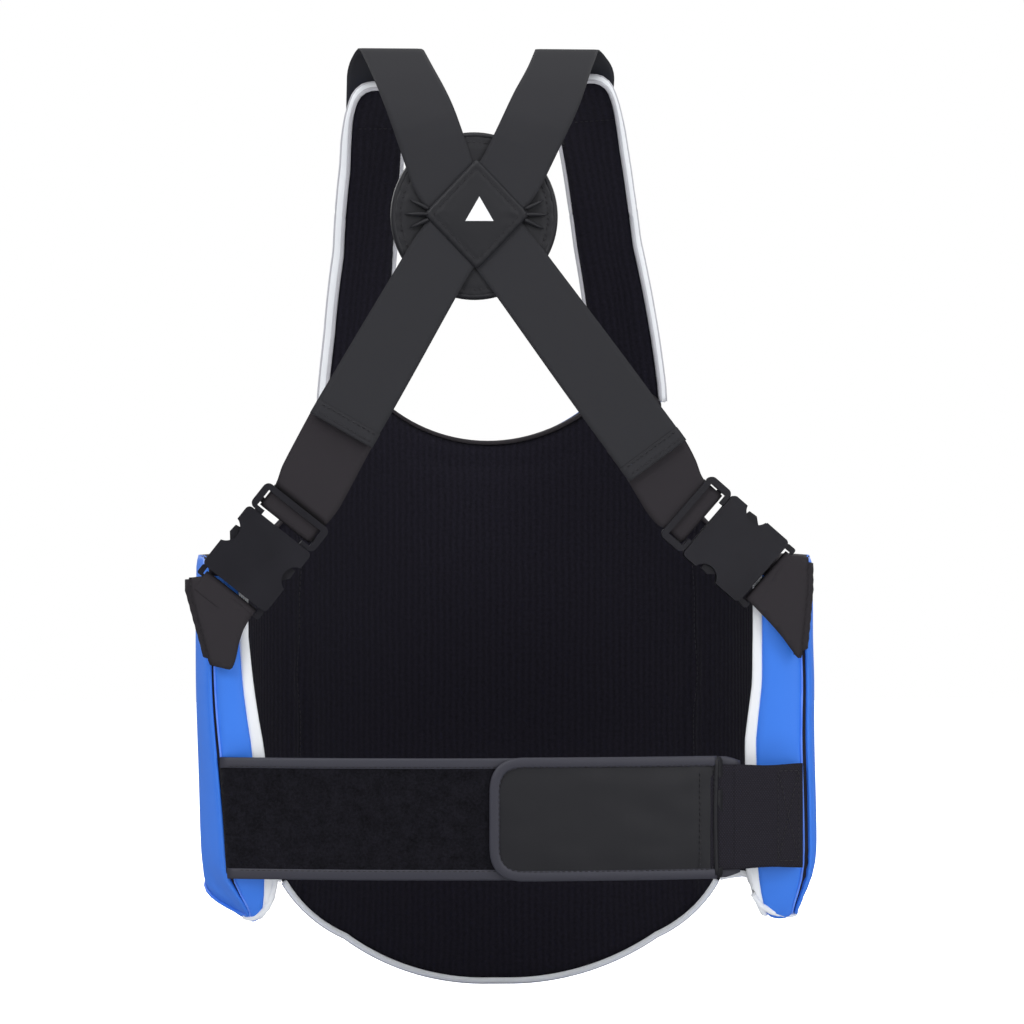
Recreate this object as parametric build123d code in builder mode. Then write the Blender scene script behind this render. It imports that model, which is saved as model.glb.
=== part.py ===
"""Trainer's padded body protector: wrap-round body, two shoulder panels, crossed harness, waist belt."""

import os
from math import asin, atan2, cos, degrees, radians, sin, sqrt

from build123d import *

# Body: the plan is five tangent arcs, one for the front and two for each side; the back is open.
RIM_RADIUS = 240.0
RIM_CENTRE = 12.0
SIDE_RADIUS = 140.0
SIDE_CENTRE = 112.0

FRONT_CENTRE = 86.5
FRONT_RADIUS = SIDE_RADIUS + sqrt(SIDE_CENTRE**2 + FRONT_CENTRE**2)
CUT_Y = 95.0
PAD = 42.0
COVER = 1.6
LINING = 3.0
SIDE_SEAM = 158.0
WALL_TOP = 190.0
WALL = 2.0
RIM_Y = 80.0
BODY_TOP = 345.0
WING_TOP = 209.0
WING_BOTTOM = -78.0
TONGUE_BOTTOM = -155.0
NECK_BOTTOM = 304.5
BINDING_BAND = 12.0
GROOVE_BAND = 9.0
PIPING = 4.0
FORM_BOTTOM = -190.0
FORM_TOP = 390.0
PANEL_RAISE = 7.0

# Shoulder panels: concentric arcs seen from the side, leaning a little to the wearer's left.
SHOULDER_RADIUS = 381.0
SHOULDER_CENTRE_Y = 254.0
SHOULDER_CENTRE_Z = 330.0
SHOULDER_PAD = 18.0
SHOULDER_TOP = 598.0
SHOULDER_X = 115.5
SHOULDER_Y = -128.0
SHOULDER_YAW = 22.0
LEAN_DEGREES = 2.4
LEAN_SHIFT = 4.0

# Harness
ELASTIC_WIDTH = 52.0
ELASTIC = 1.4
LEFT_LAYER_Y = 96.9
RIGHT_LAYER_Y = 98.5
FOLD_TOP = 625.0
DISC_X = 30.5
DISC_Z = 480.5
DISC_RADIUS = 67.0
PATCH_X = 27.0
PATCH_Z = 482.5
PATCH_HALF = 44.5

# Buckles
BUCKLE_Y = 90.3
BUCKLE_WIDTH = 64.0
BUCKLE_HALF_LENGTH = 46.0
MOUTH = 22.0
WEBBING_WIDTH = 50.0
WEBBING = 1.4

# Waist belt: concentric arcs seen from above.
BELT_CENTRE_Y = -714.0
BELT_INNER = 829.0
LOOP_THICK = 2.4
HOOK_THICK = 1.4
TAB_THICK = 1.6
ELASTIC_END = -178.0
TAB_END = 9.0
LOOP_END = -185.0
BELT_PIVOT_X = 237.0
BELT_HALF = 48.0
TAB_HALF = 49.0
BELT_ELASTIC_HALF = 42.0
FIT_GAP = 0.4

FAR = 450.0
left, right = 1, -1

os.makedirs("parts", exist_ok=True)


def save(builder, label):
    """Labels one finished piece and writes it."""
    builder.part.label = label
    export_step(builder.part, f"parts/{label}.step")


# ---------------------------------------------------------------- torso form


def torso(inward, overrun=0.0, mode=Mode.ADD):
    """The torso form, upright, taken in from the outer face, cut off flat behind the rims."""
    rim, side, front = [r - inward for r in (RIM_RADIUS, SIDE_RADIUS, FRONT_RADIUS)]
    swing = degrees(atan2(FRONT_CENTRE, SIDE_CENTRE))
    rise = degrees(asin((CUT_Y + overrun) / rim))
    with BuildSketch(Plane.XY.offset(FORM_BOTTOM - overrun)) as plan:
        with BuildLine():
            start = CenterArc((RIM_CENTRE, 0), rim, 0, rise)
            CenterArc((SIDE_CENTRE, 0), side, -swing, swing)
            CenterArc((0, FRONT_CENTRE), front, 180 + swing, 180 - 2 * swing)
            CenterArc((-SIDE_CENTRE, 0), side, 180, swing)
            finish = CenterArc((-RIM_CENTRE, 0), rim, 180 - rise, rise)
            Line(start @ 1, finish @ 0)
        make_face()
    extrude(plan.sketch, amount=FORM_TOP - FORM_BOTTOM + 2 * overrun, mode=mode)


def layer(outer, inner):
    """One layer of the pad, between two distances in from the outer face."""
    torso(outer)
    torso(inner, overrun=5, mode=Mode.SUBTRACT)


def front_outline(inset=0.0):
    """The body seen from the front; the wings run out past the sides."""
    with BuildSketch(Plane.XZ) as outline:
        with BuildLine():
            neck = ThreePointArc((-81, 333), (3, NECK_BOTTOM), (87, 333))
            Line(neck @ 1, (89, BODY_TOP))
            Line((89, BODY_TOP), (151, BODY_TOP))
            ThreePointArc((151, BODY_TOP), (167, 262), (215, WING_TOP))
            Line((215, WING_TOP), (FAR, WING_TOP))
            Line((FAR, WING_TOP), (FAR, WING_BOTTOM))
            Line((FAR, WING_BOTTOM), (196, WING_BOTTOM))
            Line((196, WING_BOTTOM), (178, -64))
            ThreePointArc((178, -64), (157, -91), (126, -113))
            ThreePointArc((126, -113), (64, -146), (-5, TONGUE_BOTTOM))
            ThreePointArc((-5, TONGUE_BOTTOM), (-74, -146), (-136, -113))
            ThreePointArc((-136, -113), (-164, -91), (-182, -64))
            Line((-182, -64), (-200, WING_BOTTOM))
            Line((-200, WING_BOTTOM), (-FAR, WING_BOTTOM))
            Line((-FAR, WING_BOTTOM), (-FAR, WING_TOP))
            Line((-FAR, WING_TOP), (-209, WING_TOP))
            ThreePointArc((-209, WING_TOP), (-161, 262), (-145, BODY_TOP))
            Line((-145, BODY_TOP), (-83, BODY_TOP))
            Line((-83, BODY_TOP), (-81, 333))
        make_face()
        if inset:
            offset(amount=-inset, mode=Mode.REPLACE)
    return outline.sketch


def side_outline(inset=0.0):
    """The body seen from the side; the rims stand at the back with rounded corners."""
    with BuildSketch(Plane.YZ) as outline:
        with BuildLine():
            Polyline(
                (-FAR, -FAR), (-60, -FAR), (-60, WING_BOTTOM), (RIM_Y - 34, WING_BOTTOM),
                (RIM_Y - 9, WING_BOTTOM + 8), (RIM_Y, WING_BOTTOM + 32),
                (RIM_Y, WING_TOP - 16), (RIM_Y - 16, WING_TOP), (20, WING_TOP),
                (20, FAR), (-FAR, FAR), close=True,
            )
        make_face()
        if inset:
            offset(amount=-inset, mode=Mode.REPLACE)
    return outline.sketch


def within_body(inset=0.0):
    """Keeps what lies inside the body's outlines."""
    extrude(front_outline(inset), amount=FAR, both=True, mode=Mode.INTERSECT)
    extrude(side_outline(inset), amount=FAR, both=True, mode=Mode.INTERSECT)


def beyond_inset():
    """Takes away what lies inside the inset outlines, leaving the edge wall."""
    with BuildPart(mode=Mode.PRIVATE) as core:
        extrude(front_outline(WALL), amount=FAR, both=True)
        extrude(side_outline(WALL), amount=FAR, both=True, mode=Mode.INTERSECT)
    add(core.part, mode=Mode.SUBTRACT)


def keep(x_range, y_range, z_range):
    """Keeps what lies in a block."""
    x, y, z = [sum(span) / 2 for span in (x_range, y_range, z_range)]
    sides = [span[1] - span[0] for span in (x_range, y_range, z_range)]
    with Locations((x, y, z)):
        Box(*sides, mode=Mode.INTERSECT)


with BuildPart() as body_lining:
    layer(PAD - LINING, PAD)
    within_body(WALL)
save(body_lining, "body_lining")

with BuildPart() as body_foam:
    layer(COVER, PAD - LINING)
    within_body(WALL)
save(body_foam, "body_foam")

with BuildPart() as front_cover:
    layer(0, COVER)
    within_body()
    keep((-SIDE_SEAM, SIDE_SEAM), (-FAR, 0), (-FAR, FAR))
save(front_cover, "front_cover")

for side, name in ((left, "left"), (right, "right")):
    reach = sorted((side * SIDE_SEAM, side * FAR))
    rim_reach = sorted((side * 120, side * FAR))

    with BuildPart() as side_cover:
        layer(0, COVER)
        within_body()
        keep(reach, (-FAR, FAR), (-FAR, FAR))
    save(side_cover, f"{name}_side_cover")

    with BuildPart() as groove_strip:
        layer(COVER, COVER + GROOVE_BAND)
        within_body()
        beyond_inset()
        keep(rim_reach, (60, FAR), (WING_BOTTOM, WALL_TOP))
    save(groove_strip, f"{name}_rim_groove_strip")

    with BuildPart() as rim_wall:
        layer(COVER, PAD - BINDING_BAND)
        within_body()
        beyond_inset()
        keep(rim_reach, (-FAR, FAR), (-FAR, WALL_TOP))
        with BuildPart(mode=Mode.PRIVATE) as strip_room:
            layer(COVER, COVER + GROOVE_BAND)
            keep(rim_reach, (60, FAR), (WING_BOTTOM, WALL_TOP))
        add(strip_room.part, mode=Mode.SUBTRACT)
        keep(sorted((side * 178, side * FAR)), (-FAR, FAR), (-FAR, WALL_TOP))
    save(rim_wall, f"{name}_rim_wall")

    with BuildPart() as rim_binding:
        layer(PAD - BINDING_BAND, PAD)
        within_body()
        beyond_inset()
        keep(sorted((side * 178, side * FAR)), (-FAR, FAR), (-FAR, WALL_TOP))
    save(rim_binding, f"{name}_rim_binding")

with BuildPart() as tongue_wall:
    layer(COVER, PAD)
    within_body()
    beyond_inset()
    keep((-178, 178), (-FAR, 0), (-FAR, 0))
save(tongue_wall, "tongue_edge_wall")

with BuildPart() as tongue_piping:
    layer(PAD - 5, PAD)
    extrude(front_outline(-PIPING), amount=FAR, both=True, mode=Mode.INTERSECT)
    extrude(front_outline(), amount=FAR, both=True, mode=Mode.SUBTRACT)
    keep((-172, 172), (-FAR, 0), (-FAR, -60))
save(tongue_piping, "tongue_piping")

with BuildPart() as upper_wall:
    layer(COVER, PAD)
    keep((-FAR, FAR), (-FAR, 160), (WALL_TOP, BODY_TOP + 5))
    within_body()
    beyond_inset()
save(upper_wall, "neck_and_armhole_edge_wall")


# Raised pads on the outside of the front, one above another.
def raised_pad(z_low, z_high, half_low, half_high):
    """A rounded pad standing out from the front cover."""
    torso(-PANEL_RAISE)
    torso(0, overrun=5, mode=Mode.SUBTRACT)
    with BuildSketch(Plane.XZ) as face:
        with BuildLine():
            Polyline(
                (-half_low, z_low), (half_low, z_low), (half_high, z_high), (-half_high, z_high),
                close=True,
            )
        make_face()
        fillet(face.vertices(), 8)
    extrude(face.sketch, amount=FAR, mode=Mode.INTERSECT)


PADS = (
    ("chest_pad", 206, 298, 128, 104),
    ("upper_belly_pad", 124, 200, 142, 130),
    ("middle_belly_pad", 42, 118, 146, 143),
    ("lower_belly_pad", -40, 36, 138, 146),
    ("tongue_pad", -126, -46, 70, 134),
)
for label, z_low, z_high, half_low, half_high in PADS:
    with BuildPart() as pad:
        raised_pad(z_low, z_high, half_low, half_high)
    save(pad, label)


# ------------------------------------------------------------ shoulder panels

LEAN = Location((LEAN_SHIFT, 0, BODY_TOP)) * Location((0, 0, 0), (0, LEAN_DEGREES, 0))
LEAN = LEAN * Location((0, 0, -BODY_TOP))


def shoulder_spot(side):
    """Where one shoulder panel's own frame sits."""
    turned = Location((side * SHOULDER_X, SHOULDER_Y, 0), (0, 0, side * SHOULDER_YAW))
    return LEAN * turned * Location((0, -SHOULDER_Y, 0))


def shoulder_layer(side, outer, inner):
    """A layer between two concentric arcs, counted out from the inner face."""
    across = Plane(shoulder_spot(side)) * Plane.YZ
    for out, mode in ((outer, Mode.ADD), (inner, Mode.SUBTRACT)):
        with BuildSketch(across) as ring:
            with Locations((SHOULDER_CENTRE_Y, SHOULDER_CENTRE_Z)):
                Circle(SHOULDER_RADIUS + out)
        extrude(ring.sketch, amount=90, both=True, mode=mode)


def shoulder_outline(side, inset=0.0):
    """One shoulder panel seen from the front, rounded at the top."""
    facing = Plane(shoulder_spot(side)) * Plane.XZ
    half_low, half_high, shift = 32, 26, side * 4
    with BuildSketch(facing) as outline:
        with BuildLine():
            Polyline(
                (-half_low + side * 2, BODY_TOP - 30), (half_low + side * 2, BODY_TOP - 30),
                (half_low, BODY_TOP), (half_high + shift, SHOULDER_TOP - 16),
                (half_high - 14 + shift, SHOULDER_TOP), (-half_high + 14 + shift, SHOULDER_TOP),
                (-half_high + shift, SHOULDER_TOP - 16), (-half_low, BODY_TOP), close=True,
            )
        make_face()
        if inset:
            offset(amount=-inset, mode=Mode.REPLACE)
    return outline.sketch


def within_shoulder(side, inset=0.0):
    """Keeps what lies inside a shoulder panel's outline, above the body."""
    extrude(shoulder_outline(side, inset), amount=FAR, both=True, mode=Mode.INTERSECT)
    keep((-FAR, FAR), (-FAR, 40), (BODY_TOP, 700))


SHOULDER_LAYERS = (
    ("shoulder_lining", 2.5, 0.0),
    ("shoulder_foam", SHOULDER_PAD - COVER, 2.5),
    ("shoulder_cover", SHOULDER_PAD, SHOULDER_PAD - COVER),
)
for side, name in ((left, "left"), (right, "right")):
    for label, outer, inner in SHOULDER_LAYERS:
        with BuildPart() as sheet:
            shoulder_layer(side, outer, inner)
            within_shoulder(side, 3.0)
        save(sheet, f"{name}_{label}")

    with BuildPart() as shoulder_binding:
        shoulder_layer(side, SHOULDER_PAD, 0.0)
        within_shoulder(side)
        extrude(shoulder_outline(side, 3.0), amount=FAR, both=True, mode=Mode.SUBTRACT)
    save(shoulder_binding, f"{name}_shoulder_binding")


# -------------------------------------------------------------------- harness


def ribbon(points, width):
    """A band of even width along straight runs, seen from the front."""
    with BuildSketch(Plane.XZ) as band:
        with BuildLine():
            Polyline(*points)
        trace(line_width=width)
    return band.sketch


def strap_side_view(layer_y):
    """A harness strap seen from the side: up off the shoulder, over, and down the back."""
    with BuildSketch(Plane.YZ) as band:
        with BuildLine():
            Spline(
                (-42, 603), (-27, FOLD_TOP - 4), (-10, FOLD_TOP - 0.8), (8, FOLD_TOP - 5),
                (layer_y - 38, 592), (layer_y - 8, 570), (layer_y, 553),
                tangents=[(0.5, 0.86), (0, -1)],
            )
            Line((layer_y, 553), (layer_y, 200))
        trace(line_width=ELASTIC)
    return band.sketch


LEFT_PATH = ((101, 656), (46.5, 507), (3.9, 447.7), (-109.7, 284.7))
RIGHT_PATH = ((-67, 656), (3.3, 510), (55, 451.7), (135.6, 310))
for name, path, layer_y in (
    ("left_to_right", LEFT_PATH, LEFT_LAYER_Y),
    ("right_to_left", RIGHT_PATH, RIGHT_LAYER_Y),
):
    with BuildPart() as strap:
        extrude(strap_side_view(layer_y), amount=220, both=True)
        extrude(ribbon(path, ELASTIC_WIDTH), amount=FAR, both=True, mode=Mode.INTERSECT)
        keep((-FAR, FAR), (-140, 140), (200, 660))
    save(strap, f"{name}_harness_strap")

DISC_LAYERS = (
    ("back_disc_lining", 85.7, 87.0, DISC_RADIUS - 3, 0),
    ("back_disc_foam", 87.0, 94.5, DISC_RADIUS - 3, 0),
    ("back_disc_cover", 94.5, 96.0, DISC_RADIUS - 3, 0),
    ("back_disc_edge", 85.7, 96.0, DISC_RADIUS, DISC_RADIUS - 3),
)
for label, near_y, far_y, outer, inner in DISC_LAYERS:
    with BuildPart() as disc:
        with BuildSketch(Plane.XZ.offset(-far_y)):
            with Locations((DISC_X, DISC_Z)):
                Circle(outer)
                if inner:
                    Circle(inner, mode=Mode.SUBTRACT)
        extrude(amount=far_y - near_y)
    save(disc, label)

with BuildPart() as patch:
    with BuildSketch(Plane.XZ.offset(-101.6)):
        with Locations(Location((PATCH_X, PATCH_Z), 45)):
            RectangleRounded(PATCH_HALF * sqrt(2), PATCH_HALF * sqrt(2), 4)
    extrude(amount=2.2)
save(patch, "back_diamond_patch")

with BuildPart() as mark:
    with BuildSketch(Plane.XZ.offset(-102.0)):
        with Locations((PATCH_X, PATCH_Z)):
            RegularPolygon(13, 3, rotation=90)
    extrude(amount=0.4)
save(mark, "size_mark")


# -------------------------------------------------------------------- buckles

BUCKLES = {
    "left": (199.0, 213.0, 38.4),
    "right": (-173.6, 220.0, -49.0),
}
WEBBING_RUNS = {
    "left": ((169.2, 250.6), (135.6, 310), (121, 336)),
    "right": ((-137.4, 251.5), (-109.7, 284.7), (-93, 309)),
}
RAIL = 26.4
ROOT = 13.9
PRONG_V = 22.0
PRONG_R = 1.8


def buckle_plane(name):
    """A buckle's own plane: x along the strap toward the harness, z toward the back."""
    x, z, tilt = BUCKLES[name]
    along = Vector(-sin(radians(tilt)), 0, cos(radians(tilt)))
    return Plane(origin=(x, BUCKLE_Y, z), x_dir=along, z_dir=(0, 1, 0))


def slab(plane, u_range, v_range, w_range, mode=Mode.ADD, corner=0.0):
    """A block given along, across and through a buckle."""
    u, v = sum(u_range) / 2, sum(v_range) / 2
    with BuildSketch(plane.offset(w_range[0])) as face:
        with Locations((u, v)):
            if corner:
                RectangleRounded(u_range[1] - u_range[0], v_range[1] - v_range[0], corner)
            else:
                Rectangle(u_range[1] - u_range[0], v_range[1] - v_range[0])
    extrude(face.sketch, amount=w_range[1] - w_range[0], mode=mode)


def folded_webbing(plane, u_turn, u_upper, u_lower, upper, lower):
    """Webbing seen edge-on, doubled round a bar, then given its width."""
    way = 1 if u_upper > u_turn else -1
    middle, reach = (upper + lower) / 2, (upper - lower) / 2
    edge_on = Plane(origin=plane.origin, x_dir=plane.x_dir, z_dir=plane.y_dir * -1)
    for extra, mode in ((WEBBING / 2, Mode.ADD), (-WEBBING / 2, Mode.SUBTRACT)):
        with BuildSketch(edge_on) as turn:
            with Locations((u_turn, middle)):
                Circle(reach + extra)
            ends = (u_turn + way * 0.01, u_turn + way * 60)
            with BuildLine():
                Polyline(
                    (u_turn, middle - reach - extra), (ends[1], middle - reach - extra),
                    (ends[1], middle + reach + extra), (u_turn, middle + reach + extra),
                    close=True,
                )
            make_face()
        extrude(turn.sketch, amount=WEBBING_WIDTH / 2, both=True, mode=mode)
    for limit, w_range in ((u_upper, (middle, 20)), (u_lower, (-20, middle))):
        cut = sorted((limit, u_turn + way * 90))
        slab(plane, cut, (-60, 60), w_range, mode=Mode.SUBTRACT)


for name in BUCKLES:
    side = left if name == "left" else right
    plane = buckle_plane(name)
    end = BUCKLE_HALF_LENGTH
    half = BUCKLE_WIDTH / 2

    with BuildPart() as male:
        slab(plane, (MOUTH + 0.6, end), (-half, half), (-3.4, 5.0), corner=5)
        slab(plane, (MOUTH + 4, end - 5), (-RAIL, RAIL), (-10, 10), mode=Mode.SUBTRACT)
        slab(plane, (MOUTH - 1, MOUTH + 5), (-19, 19), (-10, 10), mode=Mode.SUBTRACT)
        slab(plane, (end - 6, end + 1), (-RAIL, RAIL), (-10, 2.1), mode=Mode.SUBTRACT)
        slab(plane, (29.5, 34), (-RAIL - 1, RAIL + 1), (-2.1, 0.1))
        slab(plane, (16, MOUTH + 1), (-26, -19), (-3.4, 3.4))
        slab(plane, (16, MOUTH + 1), (19, 26), (-3.4, 3.4))
        slab(plane, (16, MOUTH - 0.5), (-26, 26), (-3.4, 3.4))
        slab(plane, (-14, 17), (-5, 5), (-2.5, 2.5))
    save(male, f"{name}_buckle_male")

    for way, mate in ((side, "upper"), (-side, "lower")):
        with BuildPart() as prong:
            with BuildSketch(plane.offset(-2.6)) as shape:
                with BuildLine():
                    Polyline(
                        (ROOT, way * (PRONG_V - PRONG_R)), (ROOT, way * (PRONG_V + PRONG_R)),
                        (4, way * 24.5), (3, way * 30), (-4, way * 30.6), (-12, way * 24),
                        (-12, way * 19.5), (0, way * 20), close=True,
                    )
                make_face()
                with Locations((ROOT, way * PRONG_V)):
                    Circle(PRONG_R)
            extrude(shape.sketch, amount=5.2)
        save(prong, f"{name}_buckle_prong_{mate}")

    with BuildPart() as female:
        slab(plane, (-end + 8.4, MOUTH), (-half, half), (-6.6, 6.6), corner=4)
        slab(plane, (-34, MOUTH + 1), (-27, 27), (-4.2, 4.2), mode=Mode.SUBTRACT)
        slab(plane, (-14, 6), (-half - 1, half + 1), (-4.2, 4.2), mode=Mode.SUBTRACT)
        with BuildSketch(plane.offset(-8)) as thumbs:
            with Locations((-3, half + 3), (-3, -half - 3)):
                Circle(11)
        extrude(thumbs.sketch, amount=16, mode=Mode.SUBTRACT)
        slab(plane, (-end, -end + 9), (-half + 1, half - 1), (-2.2, 2.2), corner=2)
        slab(plane, (-end + 2.6, -end + 8.4), (-RAIL, RAIL), (-8, 8), mode=Mode.SUBTRACT)
    save(female, f"{name}_buckle_female")

    with BuildPart() as adjuster:
        folded_webbing(plane, 29.2, 50, 64, 1.1, -3.1)
        run = ribbon(WEBBING_RUNS[name], WEBBING_WIDTH)
        extrude(run.moved(Location((0, BUCKLE_Y + 1.1 + WEBBING / 2, 0))), amount=WEBBING)
    save(adjuster, f"{name}_adjuster_webbing")

    with BuildPart() as loop:
        folded_webbing(plane, -end + 2.4, -end - 3, -end - 16, 3.5, -3.5)
        with BuildPart(mode=Mode.PRIVATE) as wrap:
            flat = BUCKLE_Y + 3.5
            with BuildSketch(Plane.XY) as seen_above:
                with BuildLine():
                    Line((side * 150, flat), (side * 238, flat))
                    Spline(
                        (side * 238, flat), (side * 254.5, flat - 5), (side * 240, 81.6),
                        tangents=[(side, 0), (-side, -0.1)],
                    )
                trace(line_width=WEBBING)
            extrude(seen_above.sketch, amount=FAR)
            u_start, v_half = -end + 1, WEBBING_WIDTH / 2
            corners = [(u_start, v_half), (u_start, -v_half)]
            corners = [plane.from_local_coords((u, v, 0)) for u, v in corners]
            corners.sort(key=lambda p: p.Z)
            with BuildSketch(Plane.XZ) as seen_behind:
                with BuildLine():
                    Polyline(
                        (corners[1].X, corners[1].Z), (corners[0].X, corners[0].Z),
                        (side * 243, 119), (side * 262, 165), (side * 262, 186), close=True,
                    )
                make_face()
            extrude(seen_behind.sketch, amount=FAR, both=True, mode=Mode.INTERSECT)
        add(wrap.part)
    save(loop, f"{name}_lower_webbing_loop")


# ----------------------------------------------------------------- waist belt

LOOP_OUT = BELT_INNER + LOOP_THICK
HOOK_IN = LOOP_OUT + FIT_GAP
TAB_IN = HOOK_IN + HOOK_THICK
TAB_OUT = TAB_IN + TAB_THICK


def belt_layer(inner, outer):
    """A ring layer of the belt, standing the belt's full height."""
    for radius, mode in ((outer, Mode.ADD), (inner, Mode.SUBTRACT)):
        with BuildSketch(Plane.XY) as ring:
            with Locations((0, BELT_CENTRE_Y)):
                Circle(radius)
        extrude(ring.sketch, amount=90, both=True, mode=mode)


def belt_shape(x_low, x_high, half, corner_low=0.0, inset=0.0):
    """Keeps a rectangle of the belt seen from behind, rounded at chosen ends."""
    with BuildSketch(Plane.XZ) as face:
        with Locations(((x_low + x_high) / 2, 0)):
            Rectangle(x_high - x_low, 2 * half)
        if corner_low:
            fillet(face.vertices(), corner_low)
        if inset:
            offset(amount=-inset, mode=Mode.REPLACE)
    return face.sketch


def clip(face, mode=Mode.INTERSECT):
    """Cuts or keeps by a shape seen from behind, on the back half only."""
    lifted = face.moved(Location((0, 60, 0)))
    extrude(lifted, amount=-80, mode=mode)


def pivot_end(x, radius, half):
    """Rounds a belt end about its swinging line."""
    middle = sqrt(radius**2 - x**2) + BELT_CENTRE_Y
    with BuildSketch(Plane.XY.offset(-half)) as round_end:
        with Locations((x, middle)):
            Circle(1.2)
    extrude(round_end.sketch, amount=2 * half)


with BuildPart() as loop_panel:
    belt_layer(BELT_INNER, LOOP_OUT)
    clip(belt_shape(LOOP_END, BELT_PIVOT_X, BELT_HALF))
    pivot_end(BELT_PIVOT_X, (BELT_INNER + LOOP_OUT) / 2, BELT_HALF)
save(loop_panel, "waist_loop_panel")

for label, sign in (("upper", 1), ("lower", -1)):
    with BuildPart() as strip:
        belt_layer(LOOP_OUT, LOOP_OUT + 0.7)
        clip(belt_shape(LOOP_END, BELT_PIVOT_X - 4, BELT_HALF))
        clip(belt_shape(LOOP_END - 1, BELT_PIVOT_X + 1, BELT_HALF - 5), mode=Mode.SUBTRACT)
        keep((-FAR, FAR), (-FAR, FAR), sorted((0, sign * 80)))
    save(strip, f"waist_loop_{label}_binding")

with BuildPart() as waist_elastic:
    belt_layer(TAB_IN, TAB_OUT - 0.4)
    clip(belt_shape(-BELT_PIVOT_X, ELASTIC_END, BELT_ELASTIC_HALF))
    pivot_end(-BELT_PIVOT_X, TAB_IN + 0.6, BELT_ELASTIC_HALF)
save(waist_elastic, "waist_elastic")

PEEL_GAP = 0.4
TAB_START = ELASTIC_END + PEEL_GAP
with BuildPart() as waist_tab:
    belt_layer(TAB_IN, TAB_OUT)
    clip(belt_shape(TAB_START, TAB_END, TAB_HALF))
    edges_at_end = waist_tab.edges().filter_by(Axis.Y, tolerance=12).filter_by_position(
        Axis.X, TAB_END - 1, TAB_END + 1
    )
    fillet(edges_at_end, 24)
save(waist_tab, "waist_tab_leather")

with BuildPart() as tab_binding:
    belt_layer(TAB_OUT, TAB_OUT + 1.0)
    with BuildSketch(Plane.XZ) as frame_face:
        with Locations(((TAB_START + TAB_END) / 2, 0)):
            Rectangle(TAB_END - TAB_START, 2 * TAB_HALF)
        fillet(frame_face.vertices().filter_by_position(Axis.X, TAB_END - 1, TAB_END + 1), 24)
        with Locations(((TAB_START - 8 + TAB_END - 7) / 2, 0)):
            RectangleRounded(TAB_END - 7 - TAB_START + 8, 2 * TAB_HALF - 14, 17, mode=Mode.SUBTRACT)
    clip(frame_face.sketch)
save(tab_binding, "waist_tab_binding")

with BuildPart() as hook_patch:
    belt_layer(HOOK_IN, TAB_IN)
    clip(belt_shape(TAB_START + 12, TAB_END - 10, TAB_HALF - 10, corner_low=14))
save(hook_patch, "waist_hook_patch")
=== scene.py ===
"""A trainer's padded body protector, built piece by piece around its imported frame."""

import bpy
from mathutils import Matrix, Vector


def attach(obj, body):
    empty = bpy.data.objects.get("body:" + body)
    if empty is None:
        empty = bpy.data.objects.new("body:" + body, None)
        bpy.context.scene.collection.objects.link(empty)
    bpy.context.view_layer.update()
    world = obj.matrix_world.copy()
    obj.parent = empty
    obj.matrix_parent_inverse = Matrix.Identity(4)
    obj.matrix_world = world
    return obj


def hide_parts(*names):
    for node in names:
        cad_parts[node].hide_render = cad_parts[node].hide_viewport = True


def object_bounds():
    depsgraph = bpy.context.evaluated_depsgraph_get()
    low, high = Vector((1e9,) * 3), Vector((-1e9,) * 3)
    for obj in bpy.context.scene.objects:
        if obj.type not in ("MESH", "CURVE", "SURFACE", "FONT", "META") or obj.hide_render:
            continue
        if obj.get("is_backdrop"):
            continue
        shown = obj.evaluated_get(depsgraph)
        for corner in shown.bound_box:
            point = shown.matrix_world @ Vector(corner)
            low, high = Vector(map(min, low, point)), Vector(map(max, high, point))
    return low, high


bl_info = {
    "name": "Padded body protector",
    "version": (1, 0, 0),
    "blender": (4, 5, 0),
    "location": "3D View > Sidebar > Protector",
    "description": "Builds a trainer's padded body protector from its frame, one group of pieces at a time",
    "category": "Add Mesh",
}

from math import asin, atan2, ceil, copysign, cos, hypot, pi, radians, sin, sqrt, tau

import bmesh
import bpy
import numpy as np
from mathutils import Matrix, Vector, geometry, noise

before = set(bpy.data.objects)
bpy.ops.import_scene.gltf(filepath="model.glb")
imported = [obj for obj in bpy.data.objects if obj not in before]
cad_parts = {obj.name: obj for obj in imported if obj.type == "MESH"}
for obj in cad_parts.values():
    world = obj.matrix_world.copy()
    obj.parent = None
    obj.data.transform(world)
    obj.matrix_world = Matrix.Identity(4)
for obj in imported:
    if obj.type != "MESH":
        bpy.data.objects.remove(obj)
CAD_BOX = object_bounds()

MM = 0.001
LEFT, RIGHT = 1, -1
SIDES = ((LEFT, "left"), (RIGHT, "right"))

# Torso form, in millimetres: five tangent arcs seen from above, open at the back.
RIM_RADIUS = 240.0
RIM_CENTRE = 12.0
SIDE_RADIUS = 140.0
SIDE_CENTRE = 112.0
FRONT_CENTRE = 86.5
FRONT_RADIUS = SIDE_RADIUS + hypot(SIDE_CENTRE, FRONT_CENTRE)
SWING = atan2(FRONT_CENTRE, SIDE_CENTRE)
FRONT_RUN = FRONT_RADIUS * (pi / 2 - SWING)
TURN_RUN = FRONT_RUN + SIDE_RADIUS * SWING
PAD = 42.0
RIM_Y = 80.0
WING_TOP = 209.0
WING_BOTTOM = -58.0
HEEL_DROP = 24.0
# Where across its depth each wing's low back corner draws together, and how far.
HEEL_MIDDLE = {LEFT: 36.0, RIGHT: 30.0}
HEEL_SHARE = {LEFT: 0.8, RIGHT: 0.45}
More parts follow.
